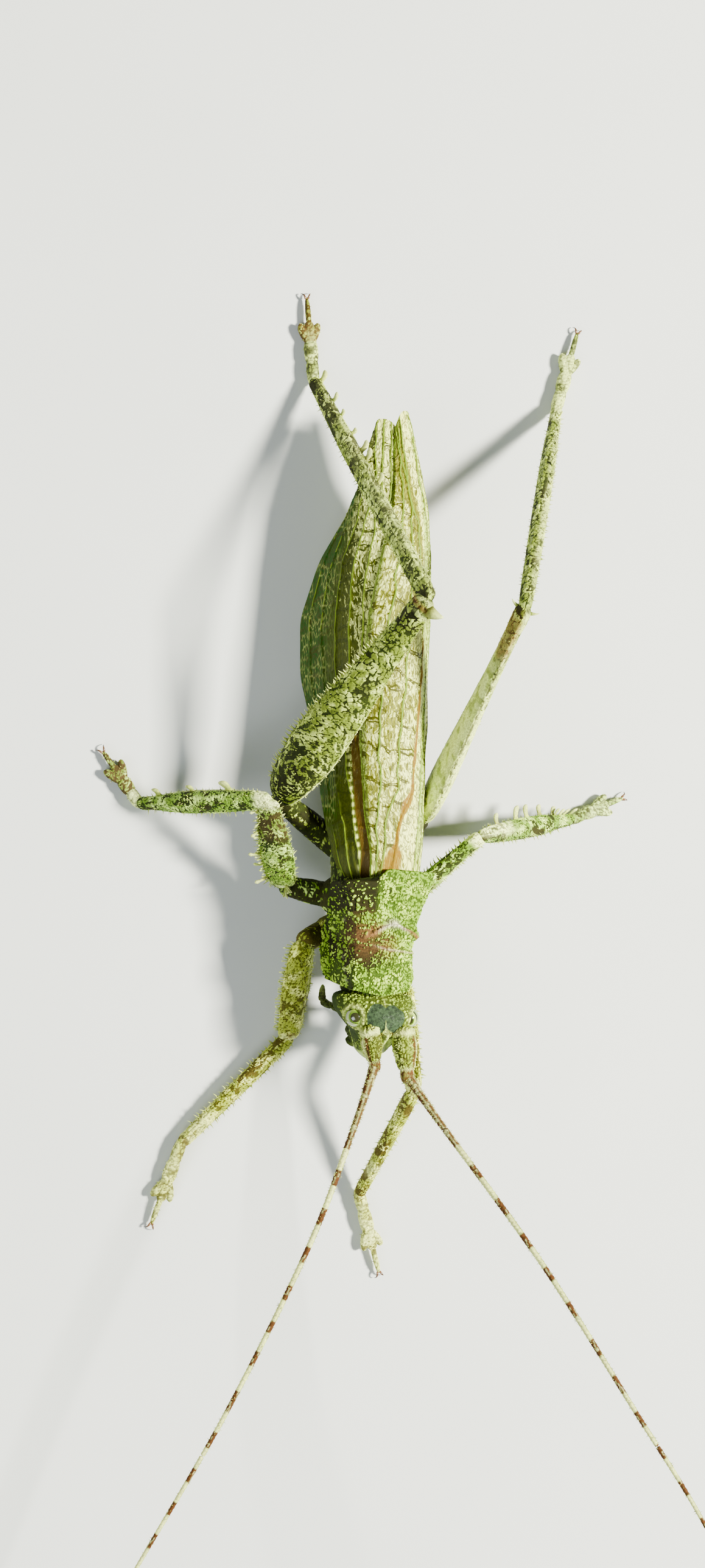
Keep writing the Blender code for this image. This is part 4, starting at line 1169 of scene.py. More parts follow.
def add_wing(side, finish):
    share = np.sin(0.5 * math.pi * np.linspace(0, 1, wing_rows)) ** 0.97
    share, turn = np.meshgrid(share, np.linspace(0, 1, wing_columns), indexing="ij")
    top = wing_places(share, turn, side)
    steps = np.linalg.norm(np.diff(top, axis=1), axis=-1)
    across = np.concatenate([np.zeros((wing_rows, 1)), np.cumsum(steps, axis=1)], axis=1)
    width = across[:, -1]
    rib, cross, field = rib_gaps(share, across, width, side)
    along = share * wing_lengths[side]
    flat = np.stack([along, across], -1)
    net, _, _ = pebbles(flat * (1.0, 2.4) + 0.3 * clouds(flat, 0.5, 44)[..., None], 0.8, 45)
    body = rise(np.minimum(turn, 1 - turn), 0.0, 0.02) * rise(1 - share, 0.0, 0.02)
    lift = 0.1 * hump(rib, 0, 0.11) + 0.06 * hump(cross, 0, 0.1) + 0.03 * hump(net, 0, 0.12)
    sag = 0.1 * clouds(flat, 2.4, 46) - 0.04
    depth = wing_thickness * (0.35 + 0.65 * body)
    rows, columns = thin_sheet(top, (lift + sag) * body, depth, wing_under_columns)
    green = green_of_wing(side, share, turn)
    faint = green * rise(clouds(flat * (0.5, 1.0), 0.8, 48), 0.3, 0.5) * (side == "right")
    rib = rib + 0.2 * faint
    over_edge = np.interp(share, wing_stations[:, 0], wing_overlaps["left"])
    beside = -((top - trunk_place) @ trunk_turn)[..., 0] - over_edge
    beads = hump(beside, 0.62, 0.07) * rise(np.cos(2 * math.pi * along / bead_step), 0.2, 0.9)
    beads = beads * rise(share, 0.3, 0.2)
    pale_net = 0.3 * green * hump(net, 0, 0.1) * rise(clouds(flat, 1.0, 49), 0.35, 0.6)
    streak_line = np.interp(share[:, :1], rib_shares, ribs[side][streak_rib]) * width[:, None]
    blob = 0.6 * rise(share, 0.06, 0.03) + 0.3 * hump(share, 0.145, 0.02)
    streak = hump(across - streak_line, 0, 0.15 + blob) * rise(share, 0.62, 0.4)
    if side == "right":
        streak = rise(beside, -0.3, 0.0) * rise(beside, 0.55, 0.35) * rise(share, 0.34, 0.24)
    values = {
        "rib": np.minimum(rib, 1.0),
        "cross": np.minimum(cross, 1.0),
        "along": along,
        "across": across,
        "streak": streak * rise(share, 0.002, 0.012),
        "green": green,
        "shade": np.clip(shade_of_wing(side, share, turn, flat, field, across - streak_line), 0, 1),
        "bead": (beads + pale_net) * (side == "right"),
    }
    for name, value in values.items():
        values[name] = np.concatenate([value, value[:, columns]], axis=1)
    make_piece("wing_" + side, [surface(rows, values)], finish, ("tegmen_" + side,))


def green_of_wing(side, share, turn):
    """How green each place of a wing is, from 0 to 1; the right wing's dark green side edge is its own
    green deepened with painted shade.
    """
    if side == "left":
        rim = hump(turn, 0.5, 0.035) * rise(share, 0.0, 0.05) + 0.7 * rise(turn, 0.62, 0.72)
        return 0.7 * rim + 0.6 * rise(turn, 0.05, 0.0) + 0.43 * rise(share, 0.9, 1.0) * rise(turn, 0.3, 0.0)
    return rise(turn, 0.62, 0.84) * rise(share, 0.04, 0.14)


def shade_of_wing(side, share, turn, flat, field, beside_streak):
    """How brown each place of a wing is, from 0, cream, to 1; along the right wing's side the brown is
    partly painted shade.
    """
    mottle = rise(clouds(flat * (0.6, 1.0), 1.3, 47), 0.4, 0.75)
    if side == "left":
        khaki = 0.95 * hump(beside_streak, 0.1, 0.45) * rise(share, 0.45, 0.75)
        cells = 0.46 * (field == 1) + 0.42 * (field == 2) + 0.34 * (field == 3) + 0.1
        return cells * (0.65 + 0.5 * mottle) + 0.55 * rise(turn, 0.62, 0.95) * mottle + khaki
    # Darker towards the right wing's side, which faces away from the key lamp: partly its own brown, partly
    # painted shade.
    side_brown_and_shade = (0.55 - 0.2 * rise(share, 0.55, 0.8)) * rise(turn, 0.42, 0.66)
    return 0.26 * rise(share, 0.9, 0.55) + 0.16 * mottle + side_brown_and_shade + 0.4 * rise(share, 0.28, 0.06)


web_masks = ("Rib", "Cross", "Along", "Across", "Streak", "Green", "Shade", "Bead")
web_colours = ("Cell", "Rib", "Net", "Shade", "Streak", "Green")


def web_group():
    """The wing's colours: olive ribs edged with brown, cream cells with brown scribbles and shades."""
    tree, given = new_group("wing_web", web_masks, web_colours)
    flat = add_node(tree, "ShaderNodeCombineXYZ", {"X": given["Along"], "Y": given["Across"]}).outputs[0]
    wobble = add_node(tree, "ShaderNodeTexNoise", {"Vector": flat, "Scale": 1.5, "Detail": 2.0})
    wobble = wobble.outputs["Color"]

    def stretched(amount, size):
        """The flat map bent by the noise, and drawn out along the wing."""
        bent = add_node(
            tree, "ShaderNodeVectorMath", {0: wobble, 1: amount, 2: flat}, operation="MULTIPLY_ADD"
        ).outputs[0]
        return add_node(tree, "ShaderNodeVectorMath", {0: bent, 1: size}, operation="MULTIPLY").outputs[0]

    worms = noise(tree, stretched((1.0, 0.5, 0.0), (1.7, 4.6, 1.0)), 1.0, 1.0)
    dashes = noise(tree, stretched((0.8, 0.5, 0.0), (2.6, 8.0, 1.0)), 1.0, 1.5)
    cells = add_node(
        tree, "ShaderNodeTexVoronoi", {"Vector": stretched((1.3, 0.8, 0.0), (1.5, 3.4, 1.0)), "Scale": 1.0},
        feature="DISTANCE_TO_EDGE",
    ).outputs["Distance"]
    patchy = noise(tree, flat, 0.9)
    fibre = noise(tree, stretched((0.3, 0.1, 0.0), (3.0, 14.0, 1.0)), 1.0)
    level = sums(tree, "MULTIPLY_ADD", given["Shade"], 0.5, worms)
    brown = ramp(tree, level, 0.72, 0.77)
    colour = mixed(tree, ramp(tree, fibre, 0.4, 0.75, 0.0, 0.3), given["Cell colour"], given["Rib colour"])
    dusky = ramp(tree, given["Shade"], 0.1, 0.9, 0.05, 0.6)
    soft = times(tree, ramp(tree, fibre, 0.7, 0.3), dusky)
    colour = mixed(tree, soft, colour, given["Shade colour"])
    colour = mixed(tree, brown, colour, given["Shade colour"])
    colour = mixed(tree, given["Green"], colour, given["Green colour"])
    net = times(tree, ramp(tree, cells, 0.1, 0.05), ramp(tree, patchy, 0.38, 0.46))
    scribble = ramp(tree, sums(tree, "MULTIPLY_ADD", given["Shade"], 0.08, dashes), 0.57, 0.6)
    scribble = times(tree, scribble, ramp(tree, patchy, 0.35, 0.6, 1.0, 0.5))
    fine = sums(tree, "MAXIMUM", net, scribble)
    colour = mixed(tree, times(tree, fine, 0.8), colour, given["Net colour"])
    rib, cross = given["Rib"], given["Cross"]
    rib_edge = times(tree, ramp(tree, rib, 0.05, 0.075), ramp(tree, rib, 0.14, 0.1))
    broken = ramp(tree, dashes, 0.44, 0.52, 0.25, 1.0)
    cross_edge = times(tree, ramp(tree, cross, 0.03, 0.06), ramp(tree, cross, 0.18, 0.14))
    seen = ramp(tree, patchy, 0.36, 0.5)
    colour = mixed(tree, times(tree, cross_edge, seen), colour, given["Net colour"])
    colour = mixed(tree, times(tree, rib_edge, broken), colour, given["Net colour"])
    colour = mixed(tree, ramp(tree, rib, 0.075, 0.05), colour, given["Rib colour"])
    grainy = ramp(tree, fibre, 0.25, 0.6, 0.75, 1.0)
    streak = times(tree, ramp(tree, given["Streak"], 0.15, 0.6), grainy)
    colour = mixed(tree, streak, colour, given["Streak colour"])
    colour = mixed(tree, given["Bead"], colour, given["Cell colour"])
    height = sums(tree, "MULTIPLY_ADD", fibre, 0.5, times(tree, fine, 0.6))
    out = {"Color": colour, "Roughness": ramp(tree, fibre, 0.3, 0.7, 0.36, 0.55), "Height": height}
    add_node(tree, "NodeGroupOutput", out)
    return tree


wing_web = web_group()


def wing_finish(name, *colours):
    """Wing skin in its own six colours: cell, rib, net, shade, streak and green."""
    return group_finish(name, wing_web, web_masks, zip(web_colours, colours), 0.1, 0.4, 0.05)


add_wing("left", wing_finish(
    "wing_left", (0.92, 0.98, 0.25), (0.15, 0.24, 0.010), (0.060, 0.062, 0.003),
    (0.23, 0.24, 0.020), (0.20, 0.105, 0.002), (0.26, 0.46, 0.03),
))
# The right wing's shade, net and green colours are far darker than the left wing's: its own darker colour,
# deepened with painted shade.
add_wing("right", wing_finish(
    "wing_right", (0.84, 0.90, 0.24), (0.14, 0.21, 0.008), (0.035, 0.045, 0.001),
    (0.060, 0.072, 0.002), (0.085, 0.048, 0.003), (0.010, 0.060, 0.0002),
))


# ---------------------------------------------------------------- legs
# Six legs of granular horn skin: a lobe of the trunk's side, a short coxa, a flat femur, a slim
# tibia and a foot of four joints with broad pale pads. Thorns, leafy lobes and bristles stand
# along their edges. The segments are closed skins that run into each other at the joints.

# share of the length, half thickness, half breadth
limb_shapes = {
    "base": ((0.0, 1.7, 1.7), (0.6, 1.5, 1.5), (1.0, 1.15, 1.15)),
    "coxa": ((0.0, 1.05, 1.05), (0.5, 0.95, 0.95), (0.85, 0.76, 0.78), (1.0, 0.62, 0.66)),
    "fore_femur": (
        (0.0, 0.5, 0.65), (0.1, 0.6, 1.05), (0.5, 0.6, 1.22), (0.85, 0.52, 1.0), (0.94, 0.55, 0.92),
        (1.0, 0.45, 0.7),
    ),
    "mid_femur": (
        (0.0, 0.5, 0.65), (0.1, 0.62, 1.2), (0.4, 0.62, 1.42), (0.8, 0.5, 0.98), (0.94, 0.55, 0.9),
        (1.0, 0.45, 0.65),
    ),
    "hind_femur": (
        (0.0, 0.5, 0.9), (0.05, 0.75, 1.8), (0.12, 0.86, 2.35), (0.22, 0.88, 2.4), (0.4, 0.76, 1.95),
        (0.7, 0.55, 1.25), (0.87, 0.55, 1.0), (0.955, 0.66, 1.1), (1.0, 0.52, 0.8),
    ),
    "fore_tibia": (
        (0.0, 0.38, 0.48), (0.1, 0.48, 0.66), (0.6, 0.45, 0.6), (0.92, 0.4, 0.5), (1.0, 0.42, 0.48),
    ),
    "mid_tibia": (
        (0.0, 0.4, 0.48), (0.12, 0.6, 0.76), (0.4, 0.8, 0.92), (0.65, 0.78, 0.86), (0.88, 0.44, 0.5),
        (1.0, 0.4, 0.46),
    ),
    "hind_tibia": (
        (0.0, 0.42, 0.6), (0.04, 0.5, 0.74), (0.12, 0.56, 0.74), (0.4, 0.62, 0.74), (0.7, 0.62, 0.72),
        (0.93, 0.46, 0.54), (1.0, 0.44, 0.5),
    ),
}
foot_lengths = {"fore": 7.0, "mid": 5.1, "hind": 6.9}
foot_height = 0.5
hind_right_twist = math.radians(35)
# start and end share of the foot, half width, height of the joint above its axis
foot_joints = (
    (-0.08, 0.3, 0.48, 0.42), (0.16, 0.52, 0.56, 0.38), (0.36, 0.72, 0.5, 0.34), (0.56, 1.0, 0.22, 0.24),
)
# the broad third joint's two lobes: place along the foot and beside its axis, how far they
# point outwards, half width, half height, half length
lobe_place, lobe_gap, lobe_splay = 0.56, 0.42, 0.45
lobe_half_width, lobe_height, lobe_half_length = 0.34, 0.3, 0.95
claw_reach, claw_spread, claw_radius, claw_tip_height = 0.5, 0.34, 0.11, 0.07
# how near a corner of one solid is to the next solid where both end at the same cut
joint_reach = 0.55
keel_height = 0.07
# Distance between rows of corners along a limb, and corners round it
fine_step, plain_step = 0.07, 0.09
lobe_columns = 48
femur_columns = {"fore": 76, "mid": 84, "hind": 130}
tibia_columns = 64
pad_row_count = 30
pad_columns = 26
claw_rows = 30
claw_columns = 12
# Left and right edge of each segment's strip in the leg's flat map
leg_map_strips = {
    "base": (0.0, 0.05), "coxa": (0.05, 0.12), "femur": (0.12, 0.5), "tibia": (0.5, 0.78),
    "foot": (0.78, 1.0),
}
# grain size at the start and the end of each segment, how far it stands up
limb_grains = {
    "fore_femur": (0.26, 0.27, 0.07), "fore_tibia": (0.34, 0.3, 0.05),
    "mid_femur": (0.26, 0.3, 0.08), "mid_tibia": (0.36, 0.3, 0.05),
    "hind_femur": (0.26, 0.5, 0.06), "hind_tibia": (0.5, 0.44, 0.04),
    "coxa": (0.26, 0.26, 0.07),
}
# Painted places by segment and mask: share of the length, its reach, strength, and where they
# don't run right round the limb, their angle and its spread
leg_marks = {
    "hind_right": {
        "femur bone": (
            (0.28, 0.26, 1.1, 98, 10), (0.66, 0.2, 0.9, 98, 7), (0.985, 0.012, 0.35, 60, 90),
            (0.935, 0.01, 0.3, 60, 60),
        ),
        # The last femur patch, round the hip end, is painted shade where the femur runs in under the body.
        "femur patch": ((0.905, 0.05, 0.95, 10, 90), (0.965, 0.012, 0.8, 300, 60), (0.1, 0.17, 0.6)),
        "femur rust": ((0.96, 0.012, 0.8),),
        "tibia patch": ((0.86, 0.1, 0.9, 20, 60), (0.03, 0.03, 0.9), (0.64, 0.07, 0.7, 60, 50)),
        "tibia bone": ((0.5, 0.45, 0.25, 60, 70),),
        "foot bone": ((0.25, 0.3, 0.35),),
        "foot rust": ((0.62, 0.2, 0.45),),
    },
    "hind_left": {
        "femur smooth": ((0.35, 0.42, 1.0, 30, 55),),
        "femur bone": (
            (0.35, 0.42, 0.95, 40, 50), (0.3, 0.3, 0.95, 135, 38), (0.7, 0.16, 0.5, 120, 30),
            (0.95, 0.04, 0.6, 130, 30),
        ),
        "femur patch": ((0.45, 0.38, 0.95, 93, 7), (0.985, 0.015, 0.9)),
        "femur rust": ((0.87, 0.09, 1.6, 40, 80),),
        "tibia bone": ((0.96, 0.05, 0.6), (0.45, 0.4, 0.45, 120, 40)),
        "tibia patch": ((0.07, 0.03, 0.7, 110, 60), (0.9, 0.03, 0.8, 20, 40)),
        "foot bone": ((0.3, 0.5, 0.6),),
    },
    "mid_right": {
        "femur patch": ((0.72, 0.18, 1.0),),
        "femur bone": ((0.97, 0.05, 0.95), (0.06, 0.02, 0.7, 40, 60)),
        "femur rust": ((0.74, 0.16, 0.35),),
        "tibia bone": ((0.03, 0.07, 0.95), (0.4, 0.42, 0.6, 120, 14)),
        "tibia patch": ((0.88, 0.06, 1.0, 310, 50),),
        "foot patch": ((0.6, 0.6, 0.8),),
        "foot rust": ((0.55, 0.3, 0.5),),
        "foot bone": ((0.08, 0.1, 0.6),),
    },
    "mid_left": {
        "femur patch": ((0.55, 0.3, 0.45),),
        "femur bone": ((0.96, 0.06, 0.95), (0.6, 0.3, 0.6, 200, 18)),
        "tibia bone": ((0.12, 0.16, 0.95, 80, 70),),
        "tibia patch": ((0.02, 0.02, 0.8), (0.6, 0.15, 0.5, 200, 50)),
        "foot bone": ((0.5, 0.5, 0.3),),
    },
    "fore_right": {
        "femur patch": ((0.62, 0.1, 0.4),),
        "femur bone": ((0.97, 0.05, 0.7), (0.5, 0.45, 0.7, 290, 7), (0.5, 0.45, 0.7, 135, 8)),
        "femur rust": ((0.93, 0.03, 0.9, 186, 25),),
        "tibia patch": ((0.3, 0.28, 0.9, 250, 40), (0.97, 0.02, 0.8)),
        "tibia bone": ((0.85, 0.12, 0.5),),
        "foot bone": ((0.5, 0.6, 0.45),),
        "foot patch": ((0.98, 0.05, 0.8),),
    },
    "fore_left": {
        "femur patch": ((0.7, 0.15, 0.6),),
        "femur bone": ((0.97, 0.04, 0.6),),
        "tibia patch": ((0.15, 0.06, 0.8), (0.5, 0.12, 0.9, 150, 60), (0.95, 0.05, 1.0)),
        "tibia bone": ((0.75, 0.07, 0.5),),
        "foot bone": ((0.5, 0.6, 0.55),),
        "foot patch": ((0.98, 0.05, 0.8),),
    },
}
# Rows of thorns on each segment: angle, first and last share, number, length, radius, and the
# kind where they aren't plain spines
thorn_rows = {
    "hind_right": {
        "femur": (
            (279, 0.04, 0.8, 44, 0.5, 0.075), (290, 0.05, 0.75, 34, 0.42, 0.07),
            (262, 0.05, 0.8, 30, 0.45, 0.07), (98, 0.96, 0.97, 1, 0.85, 0.42),
            (97, 0.1, 0.8, 18, 0.16, 0.06),
        ),
        "tibia": (
            (112, 0.5, 0.97, 7, 0.7, 0.3, "leaf"), (128, 0.1, 0.55, 12, 0.3, 0.05),
            (300, 0.04, 0.9, 40, 0.3, 0.04), (60, 0.1, 0.9, 14, 0.35, 0.05),
        ),
    },
    "hind_left": {
        "femur": (
            (271, 0.1, 0.85, 24, 0.35, 0.06), (100, 0.1, 0.8, 16, 0.2, 0.06),
            (172, 0.985, 0.995, 1, 0.7, 0.16), (352, 0.985, 0.995, 1, 0.6, 0.14),
        ),
        "tibia": (
            (169, 0.05, 0.95, 44, 0.28, 0.035), (110, 0.5, 0.95, 9, 0.4, 0.13, "leaf"),
            (349, 0.1, 0.95, 24, 0.22, 0.035),
        ),
    },
    "mid_right": {
        "femur": (
            (297, 0.1, 0.85, 6, 1.0, 0.15, "club"), (285, 0.05, 0.9, 26, 0.5, 0.06),
            (305, 0.05, 0.9, 22, 0.45, 0.07, "club"), (118, 0.08, 0.85, 22, 0.3, 0.06),
            (40, 0.02, 0.08, 10, 0.7, 0.08, "club"),
        ),
        "tibia": (
            (118, 0.3, 0.8, 3, 0.8, 0.34, "leaf"), (125, 0.15, 0.9, 14, 0.25, 0.04),
            (300, 0.1, 0.95, 26, 0.38, 0.045),
        ),
    },
    "mid_left": {
        "femur": ((21, 0.15, 0.85, 18, 0.45, 0.07), (200, 0.1, 0.85, 16, 0.25, 0.05)),
        "tibia": (
            (45, 0.22, 0.75, 5, 0.85, 0.3, "leaf"), (60, 0.75, 0.97, 4, 0.6, 0.18, "leaf"),
            (205, 0.1, 0.95, 20, 0.35, 0.05), (20, 0.1, 0.95, 16, 0.3, 0.05),
        ),
    },
    "fore_right": {
        "femur": (
            (305, 0.05, 0.9, 34, 0.45, 0.07, "club"), (292, 0.05, 0.9, 26, 0.34, 0.06),
            (127, 0.1, 0.9, 14, 0.2, 0.05),
        ),
        "tibia": (
            (308, 0.05, 0.85, 26, 0.4, 0.055), (133, 0.05, 0.85, 24, 0.36, 0.05),
            (222, 0.1, 0.5, 6, 0.4, 0.05),
        ),
    },
    "fore_left": {
        "femur": ((27, 0.1, 0.9, 16, 0.4, 0.07), (207, 0.1, 0.9, 16, 0.4, 0.07)),
        "tibia": ((28, 0.1, 0.9, 16, 0.4, 0.06), (208, 0.05, 0.9, 18, 0.3, 0.05)),
    },
}
# Fine spines all over a segment: how many, and how long
scattered_spines = {
    "hind_right": {"femur": (260, 0.16), "tibia": (160, 0.18), "foot": (40, 0.16)},
    "hind_left": {"femur": (120, 0.14), "tibia": (160, 0.18), "foot": (40, 0.16)},
    "mid_right": {"femur": (260, 0.3), "tibia": (120, 0.22), "foot": (40, 0.18)},
    "mid_left": {"femur": (220, 0.26), "tibia": (120, 0.22), "foot": (40, 0.18)},
    "fore_right": {"femur": (260, 0.26), "tibia": (200, 0.24), "foot": (50, 0.18)},
    "fore_left": {"femur": (180, 0.26), "tibia": (160, 0.24), "foot": (50, 0.18)},
}


def solid_points(node):
    corners = np.array([tuple(vertex.co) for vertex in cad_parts[node].data.vertices])
    return np.unique(np.round(corners / MM, 3), axis=0)


def joint_between(upper, lower):
    """The middle of the thin cut where two solids meet."""
    above, below = solid_points(upper), solid_points(lower)
    gaps = np.linalg.norm(above[:, None] - below[None], axis=-1)
    return (above[gaps.min(1) < joint_reach].mean(0) + below[gaps.min(0) < joint_reach].mean(0)) / 2


class Limb:
    """A straight piece of a leg, whose places are told by a share of its length and an angle.

    It reaches a little before its start and after its end, into the pieces beside it.
    """

    def __init__(self, start, end, hinge, shape, twist, before, after):
        axis = unit(end - start)
        self.start, self.end = start - axis * before, end + axis * after
        self.length = np.linalg.norm(self.end - self.start)
        self.hinge, self.broad = hinge, np.cross(axis, hinge)
        self.shape, self.twist = np.array(shape), twist

    def rows(self, step, columns, dome_start, dome_end):
        share = np.linspace(0, 1, int(self.length / step))
        thick, breadth = read(self.shape, share, 0.02)
        ends = round_ends(share, dome_start / self.length, dome_end / self.length)
        turned = (self.twist * np.sin(math.pi * np.minimum(1.0, 1.15 * (1 - share))))[:, None]
        side = self.hinge * np.cos(turned) + self.broad * np.sin(turned)
        up = self.broad * np.cos(turned) - self.hinge * np.sin(turned)
        centre = self.start + (self.end - self.start) * share[:, None]
        return share, rings(centre, side, up, thick * ends, breadth * ends, columns, 1.05)


def angle_gap(angle, other):
    """How many degrees one angle is past another, from -180 to 180."""
    return (angle - other + 180) % 360 - 180


def painted(leg, segment, mask, share, angle):
    """The painted places of one mask on one segment, added up."""
    total = np.zeros(np.broadcast(share, angle).shape)
    for at, reach, strength, *facing in leg_marks[leg].get(f"{segment} {mask}", ()):
        around = np.exp(-((angle_gap(angle, facing[0]) / facing[1]) ** 4)) if facing else 1.0
        total += strength * np.exp(-(((share - at) / reach) ** 4)) * around
    return total


def limb_skin(leg, segment, limb, step, columns, domes, grain_key, seed):
    """One segment's skin, with its grains, keels and painted places."""
    share, rows = limb.rows(step, columns, *domes)
    share = share[:, None]
    angle = np.linspace(0, 360, columns, endpoint=False)[None, :]
    start_size, end_size, stand = limb_grains[grain_key]
    size = start_size + (end_size - start_size) * rise(share, 0.1, 0.55)
    girth = np.linalg.norm(np.roll(rows, -1, axis=1) - rows, axis=-1).sum(1)[:, None]
    around = angle_gap(angle, 200) / 360 * girth
    along = np.cumsum(limb.length / len(share) / size, axis=0)
    flat = np.stack(np.broadcast_arrays(along, around / size), -1)
    loose = 0.9 * np.stack([clouds(flat, 0.8, seed), clouds(flat, 0.8, seed + 5)], -1)
    loose = loose + 0.35 * np.stack([clouds(flat, 0.3, seed + 6), clouds(flat, 0.3, seed + 8)], -1)
    edge, middle, own = pebbles(flat + loose, 1.0, seed + 1, 0.85)
    even = 0.75 if segment == "tibia" else 0.5
    line = 0.07 if segment == "tibia" else 0.03
    grain = np.minimum(rise(edge, line, line + 0.19), rise(0.8 - middle, 0.0, 0.2))
    grain = grain * (even + (1 - even) * own)
    grain = grain * (1 - 0.5 * rise(clouds(flat * (0.5, 1.0), 1.1, seed + 9), 0.66, 0.8))
    smooth, patch, rust, bone = (
        painted(leg, segment, mask, share, angle) for mask in ("smooth", "patch", "rust", "bone")
    )
    grain = grain * (1 - smooth) + 0.75 * smooth
    keel = hump(angle_gap(angle, 90), 0, 11) + hump(angle_gap(angle, 270), 0, 9)
    if segment == "tibia":
        keel = sum(hump(angle_gap(angle, corner), 0, 9) for corner in (52, 128, 232, 308))
    ends = rise(np.minimum(share, 1 - share) * limb.length, 0.0, 0.6)
    rows = raised(rows, (stand * grain + keel_height * keel) * ends)
    blotch = rise(clouds(rows * 0.8, 1.0, seed + 2), 0.5, 0.72)
    dark = 0.5 * rise(clouds(flat * (0.5, 1.0), 1.6, seed + 3), 0.6, 0.75) * (segment != "femur")
    # The trunk-side lobes and coxae are made darker all over: painted shade under the body.
    dark = dark + 0.5 * (segment in ("base", "coxa")) * (0.5 + 0.5 * (own < 0.7))
    ridge = 0.25 * keel * (segment == "tibia")
    worn = 1.1 - 0.8 * rise(clouds(flat, 1.1, seed + 4), 0.5, 0.8)
    values = {
        "grain": np.clip(grain + ridge - dark - 0.9 * patch * (1 - own), 0, 1.1),
        "patch": np.clip(0.55 * blotch * (1 - smooth) + patch + dark, 0, 1),
        "rust": np.clip(rust, 0, 0.9) * (0.5 + 0.5 * grain),
        "bone": np.clip(bone * worn, 0, 0.95),
    }
    return rows, values


def pad_rows(centre, axis, side, half_width, half_height, sole, half_length):
    """A rounded pad of the foot, flat where it meets the ground."""
    share = np.linspace(0, 1, pad_row_count)
    ends = round_ends(share, 0.45, 0.4)
    route = centre + axis * ((share - 0.5) * 2 * half_length)[:, None]
    up = np.cross(side, axis)
    rows = rings(route, side, up, half_width * ends, half_height * ends, pad_columns, 0.85, sole * ends)
    rows[..., 2] = np.maximum(rows[..., 2], 0.0)
    return rows


def foot_surfaces(leg, ankle, foot, seed):
    """Four joints, of which the third is a broad pad of two lobes."""
    axis = unit(foot - ankle)
    side = level_across(axis)
    length = np.linalg.norm(foot - ankle)
    left, right = leg_map_strips["foot"]
    pieces = []
    for number, (start, end, half_width, height) in enumerate(foot_joints):
        centre = ankle + axis * length * (start + end) / 2
        sole = 0.9 * centre[2] if number < 3 else 0.22
        half_length = length * (end - start) / 2
        pad = pad_rows(centre, axis, side, half_width, height, sole, half_length)
        pieces.append(((start + end) / 2, pad))
        if number == 2:
            for sign in (-1, 1):
                way = unit(axis + side * sign * lobe_splay)
                lobe = ankle + axis * length * lobe_place + side * sign * lobe_gap
                sizes = lobe_half_width, lobe_height, 0.95 * lobe[2], lobe_half_length
                pieces.append((0.6, pad_rows(lobe, way, level_across(way), *sizes)))
    surfaces = []
    for number, (share, rows) in enumerate(pieces):
        grain, _ = granules(rows, 0.3, seed + number)
        rows = raised(rows, 0.025 * grain * (rows[..., 2] > 0.05))
        patch, rust, bone = (painted(leg, "foot", mask, share, 0.0) for mask in ("patch", "rust", "bone"))
        cloudy = rise(clouds(rows, 0.7, seed + 9), 0.4, 0.7)
        values = {
            "grain": 0.1 + 0.85 * grain,
            "patch": np.clip(patch + 0.7 * cloudy, 0, 1),
            "rust": np.clip(rust, 0, 1),
            "bone": np.clip(bone * (1.3 - cloudy), 0, 0.95),
        }
        low = number / len(pieces)
        surfaces.append((rows, surface(rows, values, (left, low, right, low + 1 / len(pieces)))))
    return surfaces


def add_claws(leg, foot, axis):
    """Two curved claws at the end of the foot."""
    side = level_across(axis)
    flat_axis = unit(axis * (1.0, 1.0, 0.0))
    bend = np.linspace(0, 1, claw_rows)
    forward = claw_reach * np.sin(bend * math.pi / 2)
    out = 0.08 + claw_spread * bend
    radius = claw_radius * (1 - 0.85 * bend) * round_ends(bend, 0.08, 0.02)
    arch = 0.16 * np.sin(bend * math.pi) - (foot[2] - claw_tip_height) * bend ** 2
    hooks = []
    for sign, low in ((-1, 0.0), (1, 0.5)):
        route = foot - flat_axis * 0.15 + flat_axis * forward[:, None] + side * sign * out[:, None]
        route[:, 2] = foot[2] + arch
        rows = tube(route, radius, claw_columns)
        rows[..., 2] = np.maximum(rows[..., 2], 0.0)
        hooks.append(surface(rows, {"tip": bend[:, None]}, (0.0, low, 1.0, low + 0.5)))
    make_piece("claws_" + leg, hooks, claw_finish, ())


def claw_horn():
    """Dark glossy horn, red-brown at the root and nearly black at the tip."""
    made, tree, shader = new_finish("claw_horn", 0.25, 0.55)
    streaks = noise(tree, own_place(tree), 6000.0, 2.0)
    shade = sums(tree, "ADD", mask_value(tree, "tip"), streaks)
    blend = add_node(tree, "ShaderNodeMapRange", {"Value": shade, 1: 0.5, 2: 1.2}).outputs[0]
    tint = mixed(tree, blend, (0.2, 0.09, 0.03, 1), (0.02, 0.01, 0.006, 1))
    tree.links.new(tint, shader.inputs["Base Color"])
    return made


